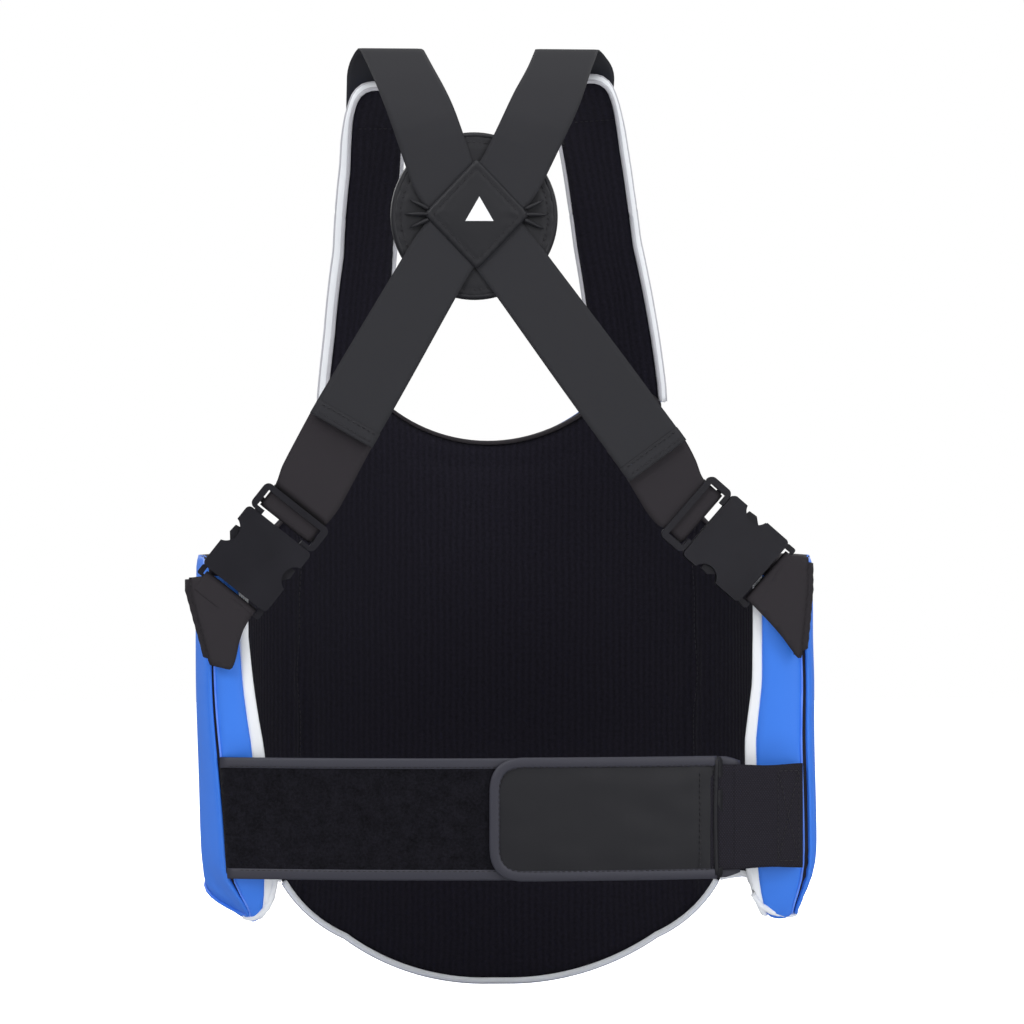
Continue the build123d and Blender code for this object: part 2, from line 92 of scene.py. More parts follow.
# How much thinner each wing's rim is than the plain form, by height, and how far it flares out.
THINNING = {
    LEFT: ((-50, 60, 106, 145), (5.0, 9.5, 14.0, 18.0)),
    RIGHT: ((-50, 60, 106, 145), (-5.5, -4.0, 2.0, 4.0)),
}
FLARE = {LEFT: 4.0, RIGHT: 3.0}
MIDDLE = 3.0
SIDE_SEAM = 158.0
BELT_CENTRE_Y = -714.0
SHOULDER_FOOT = 345.0
EDGE_STEP = 7.0


# ------------------------------------------------------------------ small helpers


def blend_between(a, b, t):
    """A number between two others."""
    return a + (b - a) * t


def ease(x, low, high):
    """Rises smoothly from 0 at low to 1 at high."""
    t = min(max((x - low) / (high - low), 0.0), 1.0)
    return t * t * (3 - 2 * t)


def hump(x, middle, half_width):
    """A smooth bump of height 1."""
    return 1 - ease(abs(x - middle), 0, half_width)


def line_points(start, end, step=EDGE_STEP):
    """Evenly spaced points along a straight line, its end left out."""
    count = max(1, round(hypot(end[0] - start[0], end[1] - start[1]) / step))
    return [
        (blend_between(start[0], end[0], i / count), blend_between(start[1], end[1], i / count))
        for i in range(count)
    ]


def arc_points(start, through, end, step=EDGE_STEP):
    """Evenly spaced points along the arc through three places, its end left out."""
    a, b, c = complex(*start), complex(*through), complex(*end)
    ratio = (c - a) / (b - a)
    centre = a + (b - a) * (ratio - abs(ratio) ** 2) / (2j * ratio.imag)
    radius = abs(a - centre)
    first, middle, last = [atan2((p - centre).imag, (p - centre).real) for p in (a, b, c)]
    sweep = (last - first) % tau
    if (middle - first) % tau > sweep:
        sweep -= tau
    count = max(2, round(abs(sweep) * radius / step))
    turns = [first + sweep * i / count for i in range(count)]
    return [(centre.real + radius * cos(t), centre.imag + radius * sin(t)) for t in turns]


def rounded(corners, radius, step=3.0):
    """A closed outline whose corners are rounded; radius is one number or one for each corner."""
    radii = radius if isinstance(radius, (list, tuple)) else [radius] * len(corners)
    points = []
    count = len(corners)
    for i, corner in enumerate(corners):
        here = Vector(corner)
        back = Vector(corners[i - 1]) - here
        ahead = Vector(corners[(i + 1) % count]) - here
        cut = min(radii[i], back.length * 0.49, ahead.length * 0.49)
        start = here + back.normalized() * cut
        end = here + ahead.normalized() * cut
        pieces = max(2, ceil(cut * 1.5 / step))
        for k in range(pieces + 1):
            t = k / pieces
            points.append(tuple(start * (1 - t) ** 2 + here * 2 * t * (1 - t) + end * t * t))
    return even_loop(points, step)


def even_loop(points, step):
    """A closed outline with about even spacing."""
    loop = points + points[:1]
    lengths = [0.0]
    for a, b in zip(loop, loop[1:]):
        lengths.append(lengths[-1] + hypot(b[0] - a[0], b[1] - a[1]))
    count = max(8, round(lengths[-1] / step))
    stations = np.linspace(0, lengths[-1], count, endpoint=False)
    xs = np.interp(stations, lengths, [p[0] for p in loop])
    ys = np.interp(stations, lengths, [p[1] for p in loop])
    return [(float(x), float(y)) for x, y in zip(xs, ys)]


def inset_loop(loop, inset):
    """A closed counter-clockwise outline taken in by a distance, or a clockwise one let out by it."""
    moved = []
    for i, here in enumerate(loop):
        ahead = Vector(loop[(i + 1) % len(loop)]) - Vector(loop[i - 1])
        inward = Vector((-ahead.y, ahead.x)).normalized()
        moved.append((here[0] + inward.x * inset, here[1] + inward.y * inset))
    return moved


def smooth_curve(points, step=3.0):
    """A smooth run of points through a few given ones."""
    places = [Vector(p) for p in points]
    padded = [places[0] * 2 - places[1]] + places + [places[-1] * 2 - places[-2]]
    run = []
    for p0, p1, p2, p3 in zip(padded, padded[1:], padded[2:], padded[3:]):
        count = max(1, round((p2 - p1).length / step))
        for i in range(count):
            t = i / count
            a = p1 * 2 + (p2 - p0) * t
            b = (p0 * 2 - p1 * 5 + p2 * 4 - p3) * t * t
            c = (p1 * 3 - p0 - p2 * 3 + p3) * t * t * t
            run.append((a + b + c) * 0.5)
    run.append(places[-1])
    return run


# ------------------------------------------------------------------ torso form


def plan_spot(run, depth):
    """A place on the torso form seen from above; run is counted along the outer face."""
    side = copysign(1, run)
    along = abs(run)
    if along < FRONT_RUN:
        turn, x0, y0, radius = along / FRONT_RADIUS - pi / 2, 0.0, FRONT_CENTRE, FRONT_RADIUS
    elif along < TURN_RUN:
        turn, x0, y0, radius = (along - TURN_RUN) / SIDE_RADIUS, SIDE_CENTRE, 0.0, SIDE_RADIUS
    else:
        turn, x0, y0, radius = (along - TURN_RUN) / RIM_RADIUS, RIM_CENTRE, 0.0, RIM_RADIUS
    return side * (x0 + (radius - depth) * cos(turn)), y0 + (radius - depth) * sin(turn)


def draw_in(run, z, depth):
    """How far a wing's rim stands in from the plain form: it is thinner, most of all higher up."""
    side = LEFT if run > 0 else RIGHT
    at_rim = ease(abs(run), 290, 420)
    thinning = -float(np.interp(z, *THINNING[side])) * depth / PAD
    if side == LEFT:
        outer_share = 12.0 * ease(-z, -120, 60)
    else:
        outer_share = 1.5 * ease(z, 100, 150) - 2.2 * ease(-z, -80, 30)
    flare = FLARE[side] * (1 - depth / PAD) * ease(abs(run), 360, 430)
    return at_rim * (thinning + outer_share) - flare


def heel_pinch(run, z):
    """How far the low back corner of a wing has drawn together, from 0 to 1."""
    return ease(-z, 24, 60) * ease(abs(run), 290, 385)


def on_form(run, z, depth):
    """A place on the torso form, in metres."""
    pinch = heel_pinch(run, z)
    side = LEFT if run > 0 else RIGHT
    depth += (HEEL_MIDDLE[side] - depth) * HEEL_SHARE[side] * pinch * pinch
    x, y = plan_spot(run, depth)
    x -= draw_in(run, z, depth) * copysign(1, x)
    return Vector((x, y, z - HEEL_DROP * pinch)) * MM


def seek(measure, goal, low, high):
    """Where a rising measure reaches its goal."""
    for _ in range(32):
        middle = (low + high) / 2
        if measure(middle) < goal:
            low = middle
        else:
            high = middle
    return low


def run_at_x(x, depth):
    """The run at which the form stands at x."""
    return copysign(seek(lambda run: plan_spot(run, depth)[0], abs(x), 0, TURN_RUN), x)


def run_at_y(y, depth, side):
    """The run at which one side of the form stands at y."""
    return side * seek(lambda run: plan_spot(run, depth)[1], y, 0, TURN_RUN + 140)


TONGUE_CORNERS = {
    LEFT: ((196, -58), (178, -64), (157, -91), (126, -113), (64, -146)),
    RIGHT: ((-200, -58), (-182, -64), (-164, -91), (-136, -113), (-74, -146)),
}
TONGUE_TIP = (-5, -155)


def half_edge(side, depth):
    """One half of the body's edge laid flat at a depth, in named stretches from neck to tongue."""

    def across(x):
        return x if side == LEFT else 2 * MIDDLE - x

    neck = arc_points((MIDDLE, 304.5), (across(46), 311.4), (across(87), 333))
    neck += line_points((across(87), 333), (across(89), SHOULDER_FOOT))
    foot = line_points((across(89), SHOULDER_FOOT), (across(134), SHOULDER_FOOT))
    foot += arc_points((across(134), SHOULDER_FOOT), (across(142), SHOULDER_FOOT - 3), (across(145), 334), 3)
    armhole = arc_points((across(145), 334), (across(164), 261), (across(215), WING_TOP))
    start = run_at_x(across(215), depth)
    corner = run_at_y(RIM_Y - 16, depth, side)
    rim = arc_points((RIM_Y - 16, WING_TOP), (RIM_Y - 4.7, WING_TOP - 4.7), (RIM_Y, WING_TOP - 16))
    rim += line_points((RIM_Y, WING_TOP - 16), (RIM_Y, WING_BOTTOM + 30))
    rim += arc_points((RIM_Y, WING_BOTTOM + 30), (RIM_Y - 9, WING_BOTTOM + 9), (50, WING_BOTTOM))
    heel = run_at_y(50, depth, side)
    hip, notch, *bend = TONGUE_CORNERS[side]
    toe = run_at_x(hip[0], depth)
    tongue = arc_points(notch, bend[0], bend[1]) + arc_points(bend[1], bend[2], TONGUE_TIP)
    return {
        "neck": [(run_at_x(x, depth), z) for x, z in neck],
        "foot": [(run_at_x(x, depth), z) for x, z in foot],
        "armhole": [(run_at_x(x, depth), z) for x, z in armhole],
        "wing_top": [(blend_between(start, corner, i / 16), WING_TOP) for i in range(16)],
        "rim": [(run_at_y(y, depth, side), z) for y, z in rim],
        "wing_bottom": [(blend_between(heel, toe, i / 18), WING_BOTTOM) for i in range(18)],
        "notch": [(run_at_x(x, depth), z) for x, z in line_points(hip, notch, 4)],
        "tongue": [(run_at_x(x, depth), z) for x, z in tongue],
    }


def whole_edge(depth):
    """The body's whole edge laid flat at a depth, closed, from the neck's middle."""
    halves = [sum(half_edge(side, depth).values(), []) for side in (LEFT, RIGHT)]
    tip = (run_at_x(TONGUE_TIP[0], depth), TONGUE_TIP[1])
    return halves[0] + [tip] + halves[1][:0:-1]


class EdgeRun:
    """A stretch of the body's edge, with places given by station, depth and how proud they stand."""

    def __init__(self, side, names, lowest=-900.0, highest=900.0):
        outer, inner = half_edge(side, 0), half_edge(side, PAD)
        pairs = [pair for name in names for pair in zip(outer[name], inner[name])]
        self.pairs = [pair for pair in pairs if lowest <= pair[0][1] <= highest]
        self.side = side
        self.count = len(self.pairs)

    def normal(self, i):
        """The direction out of the edge, in the flat."""
        middle = [(Vector(a) + Vector(b)) / 2 for a, b in self.pairs]
        ahead = middle[min(i + 1, self.count - 1)] - middle[max(i - 1, 0)]
        out = Vector((-ahead.y, ahead.x)) * self.side
        return out.normalized()

    def spot(self, i, depth, proud):
        outer, inner = self.pairs[i]
        out = self.normal(i) * proud
        share = depth / PAD
        run = blend_between(outer[0], inner[0], share) + out.x
        z = blend_between(outer[1], inner[1], share) + out.y
        return on_form(run, z, depth)


def off_form(line, depth, lift):
    """Places along a laid-flat line, each with a direction: a lift above 0 points out of the outer
    face, and one below 0 out of the inner face."""
    places = [on_form(run, z, depth) for run, z in line]
    if lift > 0:
        outs = [on_form(run, z, -lift) - on_form(run, z, 0) for run, z in line]
    else:
        outs = [on_form(run, z, PAD - lift) - on_form(run, z, PAD) for run, z in line]
    return places, outs


# ------------------------------------------------------------------ mesh making


def make_object(name, points, faces, flat=None, smooth=True):
    """A mesh object from points in metres, with its laid-flat places kept as a UV map."""
    mesh = bpy.data.meshes.new(name)
    mesh.from_pydata([tuple(p) for p in points], [], faces)
    if flat is not None:
        layer = mesh.uv_layers.new(name="flat")
        places = np.array(flat, dtype=float)
        index = np.zeros(len(mesh.loops), dtype=int)
        mesh.loops.foreach_get("vertex_index", index)
        layer.data.foreach_set("uv", places[index].ravel())
    mesh.update()
    if smooth:
        mesh.polygons.foreach_set("use_smooth", [True] * len(mesh.polygons))
    thing = bpy.data.objects.new(name, mesh)
    bpy.context.scene.collection.objects.link(thing)
    return thing


def face_outwards(thing):
    """Turns every face of a closed mesh outwards."""
    work = bmesh.new()
    work.from_mesh(thing.data)
    bmesh.ops.remove_doubles(work, verts=work.verts, dist=1e-6)
    bmesh.ops.recalc_face_normals(work, faces=work.faces)
    work.to_mesh(thing.data)
    work.free()


def edge_distance(places, loop):
    """How far each flat place is from a closed outline."""
    starts = np.array(loop)
    steps = np.roll(starts, -1, axis=0) - starts
    lengths = (steps**2).sum(axis=1)
    least = np.full(len(places), 1e9)
    for start, step, length in zip(starts, steps, lengths):
        offset = places - start
        along = np.clip((offset @ step) / max(length, 1e-9), 0, 1)
        least = np.minimum(least, np.hypot(*(offset - along[:, None] * step).T))
    return least


def inside(places, loop):
    """Which flat places lie inside a closed outline."""
    within = np.zeros(len(places), dtype=bool)
    x, y = places.T
    for (x0, y0), (x1, y1) in zip(loop, loop[1:] + loop[:1]):
        if y0 == y1:
            continue
        crosses = (y0 > y) != (y1 > y)
        within ^= crosses & (x < (x1 - x0) * (y - y0) / (y1 - y0) + x0)
    return within


def panel(name, loop, spacing, place, top, bottom):
    """A closed cut panel: its outline is laid flat, filled with even triangles and put in place.

    top and bottom give the level of each face from a flat place and its distance to the outline."""
    low, high = np.min(loop, axis=0), np.max(loop, axis=0)
    rows = np.arange(low[1], high[1], spacing * 0.87)
    columns = np.arange(low[0], high[0], spacing)
    stagger = [(x + spacing / 2 * (k % 2), y) for k, y in enumerate(rows) for x in columns]
    grid = np.array(stagger)
    grid = grid[inside(grid, loop)]
    grid = grid[edge_distance(grid, loop) > spacing * 0.55]
    flat = [Vector(p) for p in loop] + [Vector(p) for p in grid]
    border = [list(range(len(loop)))]
    made = geometry.delaunay_2d_cdt(flat, [], border, 1, 1e-5)
    places, triangles = made[0], made[2]
    gaps = edge_distance(np.array([tuple(p) for p in places]), loop)
    levels = [(top(p.x, p.y, g), bottom(p.x, p.y, g)) for p, g in zip(places, gaps)]
    upper = [place(p.x, p.y, level[0]) for p, level in zip(places, levels)]
    lower = [place(p.x, p.y, level[1]) for p, level in zip(places, levels)]
    count = len(places)
    faces = [tuple(t) for t in triangles]
    used = {}
    for t in triangles:
        for a, b in ((t[0], t[1]), (t[1], t[2]), (t[2], t[0])):
            used[(a, b)] = used.get((b, a), 0) + 1
            if (b, a) in used:
                used[(a, b)] = used[(b, a)] = 2
    walls = [(b, a, a + count, b + count) for (a, b), times in used.items() if times == 1]
    faces += [tuple(i + count for i in reversed(t)) for t in triangles] + walls
    uv = [(p.x * 0.01, p.y * 0.01) for p in places]
    thing = make_object(name, upper + lower, faces, uv + uv)
    face_outwards(thing)
    return thing


def swept(name, rings, closed=False):
    """A closed solid through a run of rings, each the same count of points."""
    across = len(rings[0])
    points = [p for ring in rings for p in ring]
    faces = []
    spans = len(rings) if closed else len(rings) - 1
    for i in range(spans):
        a, b = i * across, ((i + 1) % len(rings)) * across
        for k in range(across):
            m = (k + 1) % across
            faces.append((a + k, a + m, b + m, b + k))
    if not closed:
        faces.append(tuple(range(across)))
        faces.append(tuple(reversed(range((len(rings) - 1) * across, len(rings) * across))))
    along = [0.0]
    for one, other in zip(rings, rings[1:]):
        along.append(along[-1] + (other[0] - one[0]).length * 10)
    uv = [(along[i], k * 0.03) for i in range(len(rings)) for k in range(across)]
    thing = make_object(name, points, faces, uv)
    face_outwards(thing)
    return thing


def ribbon(name, rows, thickness, columns=10, ripple=0.0):
    """A woven band: each row is its left and right edge, in millimetres."""
    points, faces, uv = [], [], []
    along = 0.0
    last = None
    for left_edge, right_edge in rows:
        middle = (left_edge + right_edge) / 2
        along += (middle - last).length if last is not None else 0.0
        last = middle
        width = (right_edge - left_edge).length
        for k in range(columns + 1):
            t = k / columns
            points.append(left_edge.lerp(right_edge, t))
            uv.append(((t - 0.5) * width * 0.01, along * 0.01))
    across = columns + 1
    for r in range(len(rows) - 1):
        for k in range(columns):
            a = r * across + k
            faces.append((a, a + 1, a + across + 1, a + across))
    normals = sheet_normals(points, len(rows), across)
    count = len(points)
    lifts = [n * (thickness / 2 * edge_roll(i % across, columns)) for i, n in enumerate(normals)]
    upper = [(p + lift) * MM for p, lift in zip(points, lifts)]
    lower = [(p - lift) * MM for p, lift in zip(points, lifts)]
    rim = list(range(across)) + [r * across + columns for r in range(1, len(rows))]
    rim += list(range(count - 2, count - across - 1, -1))
    rim += [r * across for r in range(len(rows) - 2, 0, -1)]
    under = [tuple(i + count for i in reversed(f)) for f in faces]
    walls = [(a, a + count, b + count, b) for a, b in zip(rim, rim[1:] + rim[:1])]
    thing = make_object(name, upper + lower, faces + under + walls, uv + uv)
    face_outwards(thing)
    return thing


def edge_roll(k, columns):
    """How much thinner a band is at its selvedge."""
    return 0.72 if k in (0, columns) else 1.0


def sheet_normals(points, rows, across):
    """The direction out of a grid of points, at each point."""
    normals = []
    for r in range(rows):
        for k in range(across):
            here = r * across
            down = points[max(r - 1, 0) * across + k]
            up = points[min(r + 1, rows - 1) * across + k]
            one = points[here + max(k - 1, 0)]
            other = points[here + min(k + 1, across - 1)]
            normals.append((up - down).cross(other - one).normalized())
    return normals


def ring_around(points, radius, sides=8, flatten=1.0):
    """Rings along a run of points in metres, for a round piping."""
    rings = []
    count = len(points)
    for i, here in enumerate(points):
        ahead = (points[(i + 1) % count] if i < count - 1 else here) - points[max(i - 1, 0)]
        ahead.normalize()
        up = Vector((0, 0, 1)) if abs(ahead.z) < 0.9 else Vector((1, 0, 0))
        one = ahead.cross(up).normalized()
        other = one.cross(ahead).normalized()
        turns = [tau * k / sides for k in range(sides)]
        rings.append([here + (one * cos(t) + other * (sin(t) * flatten)) * radius for t in turns])
    return rings


def piping(name, points, radius, sides=8, closed=False):
    """A round cord edge along points in metres."""
    if closed:
        rings = ring_around(points + points[:1], radius, sides)[:-1]
    else:
        rings = ring_around(points, radius, sides)
    return swept(name, rings, closed)


def stitches(name, runs, length=3.2, gap=1.3, radius=0.42):
    """Rows of thread: each run is a list of points in metres with the direction out of the cloth."""
    points, faces = [], []
    sides = 6
    for places, outs in runs:
        lengths = [0.0]
        for a, b in zip(places, places[1:]):
            lengths.append(lengths[-1] + (b - a).length / MM)
        count = int(lengths[-1] / (length + gap))
        for n in range(count):
            start = n * (length + gap) + gap / 2
            stations = [start + length * t for t in (0.0, 0.2, 0.8, 1.0)]
            rings = []
            for station, swell in zip(stations, (0.15, 1.0, 1.0, 0.15)):
                k = int(np.searchsorted(lengths, station, side="right")) - 1
                k = min(max(k, 0), len(places) - 2)
                t = (station - lengths[k]) / max(lengths[k + 1] - lengths[k], 1e-9)
                spot = places[k].lerp(places[k + 1], t)
                out = outs[k].lerp(outs[k + 1], t).normalized()
                ahead = (places[k + 1] - places[k]).normalized()
                over = out.cross(ahead).normalized()
                spot = spot + out * (radius * MM * 0.35 * (1 if swell == 1.0 else -1))
                ring = []
                for side in range(sides):
                    turn = tau * side / sides
                    ring.append(spot + (over * cos(turn) + out * sin(turn)) * (radius * swell * MM))
                rings.append(ring)
            base = len(points)
            for ring in rings:
                points.extend(ring)
            for r in range(3):
                for k in range(sides):
                    m = (k + 1) % sides
                    a, b = base + r * sides, base + (r + 1) * sides
                    faces.append((a + k, a + m, b + m, b + k))
            faces.append(tuple(range(base, base + sides)))
            faces.append(tuple(reversed(range(base + 3 * sides, base + 4 * sides))))
    thing = make_object(name, points, faces)
    face_outwards(thing)
    return thing


def dress(thing, material, body="torso", slot=None, hides=()):
    """Gives a piece its finish, the body it moves with and the frame pieces it stands for."""
    thing.data.materials.clear()
    thing.data.materials.append(bpy.data.materials[material])
    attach(thing, body)
    if hides:
        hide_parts(*hides)
    return thing


# ------------------------------------------------------------------ finishes


def linear(red, green, blue):
    """A colour from 0 to 255 as Blender's own linear values."""
    shares = [c / 255 for c in (red, green, blue)]
    return [s / 12.92 if s <= 0.04045 else ((s + 0.055) / 1.055) ** 2.4 for s in shares] + [1.0]


class Wiring:
    """A node tree under construction."""

    def __init__(self, tree):
        self.nodes, self.links = tree.nodes, tree.links

    def add(self, kind, inputs=None, **settings):
        node = self.nodes.new(kind)
        for name, value in settings.items():
            setattr(node, name, value)
        for key, value in (inputs or {}).items():
            self.feed(node.inputs[key], value)
        return node

    def feed(self, socket, value):
        if isinstance(value, bpy.types.NodeSocket):
            self.links.new(value, socket)
        else:
            socket.default_value = value

    def maths(self, operation, *values):
        node = self.add("ShaderNodeMath", operation=operation)
        for socket, value in zip(node.inputs, values):
            self.feed(socket, value)
        return node.outputs[0]

    def mix(self, factor, a, b):
        node = self.add("ShaderNodeMix", data_type="RGBA")
        self.feed(node.inputs[0], factor)
        self.feed(node.inputs[6], a)
        self.feed(node.inputs[7], b)
        return node.outputs[2]


def effect_group(name, inputs, outputs):
    """A shader node group with named sockets, and the wiring inside it."""
    group = bpy.data.node_groups.new(name, "ShaderNodeTree")
    for label, kind, default in inputs:
        socket = group.interface.new_socket(label, in_out="INPUT", socket_type=kind)
        if default is not None:
            socket.default_value = default
    for label in outputs:
        group.interface.new_socket(label, in_out="OUTPUT", socket_type="NodeSocketFloat")
    wiring = Wiring(group)
    return group, wiring, wiring.add("NodeGroupInput").outputs, wiring.add("NodeGroupOutput").inputs


def make_weave_group():
    """Crossing threads: raised where one passes over the other."""
    sockets = (
        ("Vector", "NodeSocketVector", None),
        ("Across", "NodeSocketFloat", 60.0),
        ("Along", "NodeSocketFloat", 60.0),
        ("Unevenness", "NodeSocketFloat", 0.2),
    )
    group, w, given, result = effect_group("thread_weave", sockets, ("Height", "Shade"))
    part = w.add("ShaderNodeSeparateXYZ", {0: given["Vector"]}).outputs
    across = w.maths("SINE", w.maths("MULTIPLY", part["X"], w.maths("MULTIPLY", given["Across"], tau)))
    along = w.maths("SINE", w.maths("MULTIPLY", part["Y"], w.maths("MULTIPLY", given["Along"], tau)))
    cross = w.maths("MULTIPLY_ADD", w.maths("MULTIPLY", across, along), 0.35, 0.5)
    rib = w.maths("MULTIPLY", w.maths("ABSOLUTE", across), 0.3)
    mess = w.add("ShaderNodeTexNoise", {"Vector": given["Vector"], "Scale": 40.0, "Detail": 3.0})
    mess = w.maths("MULTIPLY", w.maths("SUBTRACT", mess.outputs["Fac"], 0.5), given["Unevenness"])
    height = w.maths("ADD", w.maths("ADD", cross, rib), mess)
    w.feed(result["Height"], height)
    # Shade follows the height: raised threads lighter, dipping ones darker, a painted shade of the weave's
    # relief with some random unevenness.
    w.feed(result["Shade"], w.maths("MULTIPLY_ADD", height, 0.8, 0.1))


def make_rib_group():
    """Soft upright ribs with a fine knit between them."""
    sockets = (
        ("Vector", "NodeSocketVector", None),
        ("Ribs", "NodeSocketFloat", 15.0),
        ("Knit", "NodeSocketFloat", 90.0),
    )
    group, w, given, result = effect_group("ribbed_knit", sockets, ("Height", "Shade"))
    part = w.add("ShaderNodeSeparateXYZ", {0: given["Vector"]}).outputs
    sway = w.add("ShaderNodeTexNoise", {"Vector": given["Vector"], "Scale": 2.2, "Detail": 2.0})
    sway = w.maths("MULTIPLY_ADD", sway.outputs["Fac"], 0.05, part["X"])
    rib = w.maths("SINE", w.maths("MULTIPLY", sway, w.maths("MULTIPLY", given["Ribs"], tau)))
    knit = w.add("ShaderNodeTexVoronoi", {"Vector": given["Vector"], "Scale": given["Knit"]})
    grain = w.add("ShaderNodeTexNoise", {"Vector": given["Vector"], "Scale": 34.0, "Detail": 5.0})
    height = w.maths("MULTIPLY_ADD", rib, 0.25, 0.5)
    height = w.maths("MULTIPLY_ADD", knit.outputs["Distance"], 0.5, height)
    w.feed(result["Height"], w.maths("MULTIPLY_ADD", grain.outputs["Fac"], 0.4, height))
    # Shade: random grain tone, with the rib crests a little lighter and their valleys darker as painted
    # shade.
    shade = w.maths("MULTIPLY_ADD", rib, 0.1, 0.15)
    w.feed(result["Shade"], w.maths("MULTIPLY_ADD", grain.outputs["Fac"], 0.7, shade))


def make_grain_group():
    """Pebbled leather grain, with slow mottling."""
    sockets = (
        ("Vector", "NodeSocketVector", None),
        ("Pebbles", "NodeSocketFloat", 900.0),
        ("Creases", "NodeSocketFloat", 14.0),
    )
    group, w, given, result = effect_group("leather_grain", sockets, ("Height", "Mottle"))
    pebble = w.add("ShaderNodeTexVoronoi", {"Vector": given["Vector"], "Scale": given["Pebbles"]})
    pebble.feature = "SMOOTH_F1"
    crease = w.add(
        "ShaderNodeTexNoise",
        {"Vector": given["Vector"], "Scale": given["Creases"], "Detail": 4.0, "Distortion": 0.6},
    )
    w.feed(result["Height"], w.maths("MULTIPLY_ADD", crease.outputs["Fac"], 2.5, pebble.outputs["Distance"]))
    w.feed(result["Mottle"], crease.outputs["Fac"])


def make_wear_group():
    """Rubbing along proud edges, broken up by scuffs."""
    sockets = (
        ("Vector", "NodeSocketVector", None),
        ("Amount", "NodeSocketFloat", 0.5),
    )
    group, w, given, result = effect_group("edge_wear", sockets, ("Mask",))
    edge = w.add("ShaderNodeNewGeometry").outputs["Pointiness"]
    edge = w.add("ShaderNodeMapRange", {"Value": edge, "From Min": 0.51, "From Max": 0.6})
    scuff = w.add("ShaderNodeTexNoise", {"Vector": given["Vector"], "Scale": 60.0, "Detail": 6.0})
    scuff = w.add("ShaderNodeMapRange", {"Value": scuff.outputs["Fac"], "From Min": 0.35, "From Max": 0.7})
    mask = w.maths("MULTIPLY", edge.outputs[0], scuff.outputs[0])
    w.feed(result["Mask"], w.maths("MULTIPLY", mask, given["Amount"]))


def start_material(name, roughness, sheen=0.0, coat=0.0, specular=0.5):
    """A new material with its shader; values that are even all over are set on the shader itself."""
    material = bpy.data.materials.new(name)
    material.use_nodes = True
    w = Wiring(material.node_tree)
    shader = w.nodes["Principled BSDF"]
    shader.inputs["Roughness"].default_value = roughness
    shader.inputs["Sheen Weight"].default_value = sheen
    shader.inputs["Sheen Roughness"].default_value = 0.5
    shader.inputs["Coat Weight"].default_value = coat
    shader.inputs["Coat Roughness"].default_value = 0.12
    shader.inputs["Specular IOR Level"].default_value = specular
    return material, w, shader


def place_group(w, name, values):
    """One shared effect placed in a material."""
    node = w.add("ShaderNodeGroup", node_tree=bpy.data.node_groups[name])
    for key, value in values.items():
        w.feed(node.inputs[key], value)
    return node.outputs


def finish_colour(w, shader, factor, dark, light):
    """Colour that runs between two tones over the surface."""
    factor = w.add("ShaderNodeClamp", {0: factor}).outputs[0]
    w.feed(shader.inputs["Base Color"], w.mix(factor, dark, light))


def finish_bump(w, shader, height, strength, distance):
    """Surface relief from a height."""
    bump = w.add("ShaderNodeBump", {"Strength": strength, "Distance": distance, "Height": height})
    w.feed(shader.inputs["Normal"], bump.outputs[0])


def laid_flat(w):
    return w.add("ShaderNodeUVMap", uv_map="flat").outputs[0]


def in_space(w):
    return w.add("ShaderNodeTexCoord").outputs["Object"]


def make_cloth(name, dark, light, across, along, roughness=0.85, sheen=0.015, relief=0.0003):
    """A woven band or tape."""
    material, w, shader = start_material(name, roughness, sheen=sheen, specular=0.04)
    weave = place_group(w, "thread_weave", {"Vector": laid_flat(w), "Across": across, "Along": along})
    # Colour runs from dark in the weave's hollows to light on its raised threads: painted shade.
    finish_colour(w, shader, weave["Shade"], dark, light)
    finish_bump(w, shader, weave["Height"], 0.7, relief)


def make_leather(name, dark, light, roughness, coat=0.0, pebbles=900.0, relief=0.00025, specular=0.5):
    """Coated leather with grain, mottling and rubbed edges."""
    material, w, shader = start_material(name, roughness, coat=coat, specular=specular)
    place = in_space(w)
    grain = place_group(w, "leather_grain", {"Vector": place, "Pebbles": pebbles})
    rub = place_group(w, "edge_wear", {"Vector": place, "Amount": 0.4})["Mask"]
    body = w.mix(grain["Mottle"], dark, light)
    worn = [min(1.0, c * 1.5 + 0.02) for c in light[:3]] + [1.0]
    w.feed(shader.inputs["Base Color"], w.mix(rub, body, worn))
    rough = w.maths("MULTIPLY_ADD", grain["Mottle"], 0.14, roughness - 0.07)
    w.feed(shader.inputs["Roughness"], w.maths("MULTIPLY_ADD", rub, 0.2, rough))
    finish_bump(w, shader, grain["Height"], 0.45, relief)


def make_mesh_cloth():
    """The black ribbed lining."""
    material, w, shader = start_material("ribbed_black_mesh", 0.9, sheen=0.05, specular=0.08)
    ribs = place_group(w, "ribbed_knit", {"Vector": laid_flat(w), "Ribs": 15.0, "Knit": 85.0})
    # The lining's colour carries painted shade of the ribs as well as the grain's random tone.
    finish_colour(w, shader, ribs["Shade"], linear(14, 13, 17), linear(38, 36, 47))
    finish_bump(w, shader, ribs["Height"], 0.8, 0.0007)


def make_loop_cloth():
    """Fuzzy loop fabric: thousands of tiny tangled loops."""
    material, w, shader = start_material("fuzzy_loop_fabric", 0.95, sheen=0.06, specular=0.05)
    place = in_space(w)
    fuzz = w.add("ShaderNodeTexNoise", {"Vector": place, "Scale": 420.0, "Detail": 6.0, "Roughness": 0.75})
    clump = w.add("ShaderNodeTexNoise", {"Vector": place, "Scale": 90.0, "Detail": 2.0})
    mixed = w.maths("MULTIPLY", fuzz.outputs["Fac"], 0.7)
    mixed = w.maths("MULTIPLY_ADD", clump.outputs["Fac"], 0.25, mixed)
    factor = w.add("ShaderNodeMapRange", {"Value": mixed, "From Min": 0.3, "From Max": 0.7}).outputs[0]
    finish_colour(w, shader, factor, linear(6, 6, 8), linear(35, 34, 41))
    finish_bump(w, shader, fuzz.outputs["Fac"], 1.0, 0.0012)


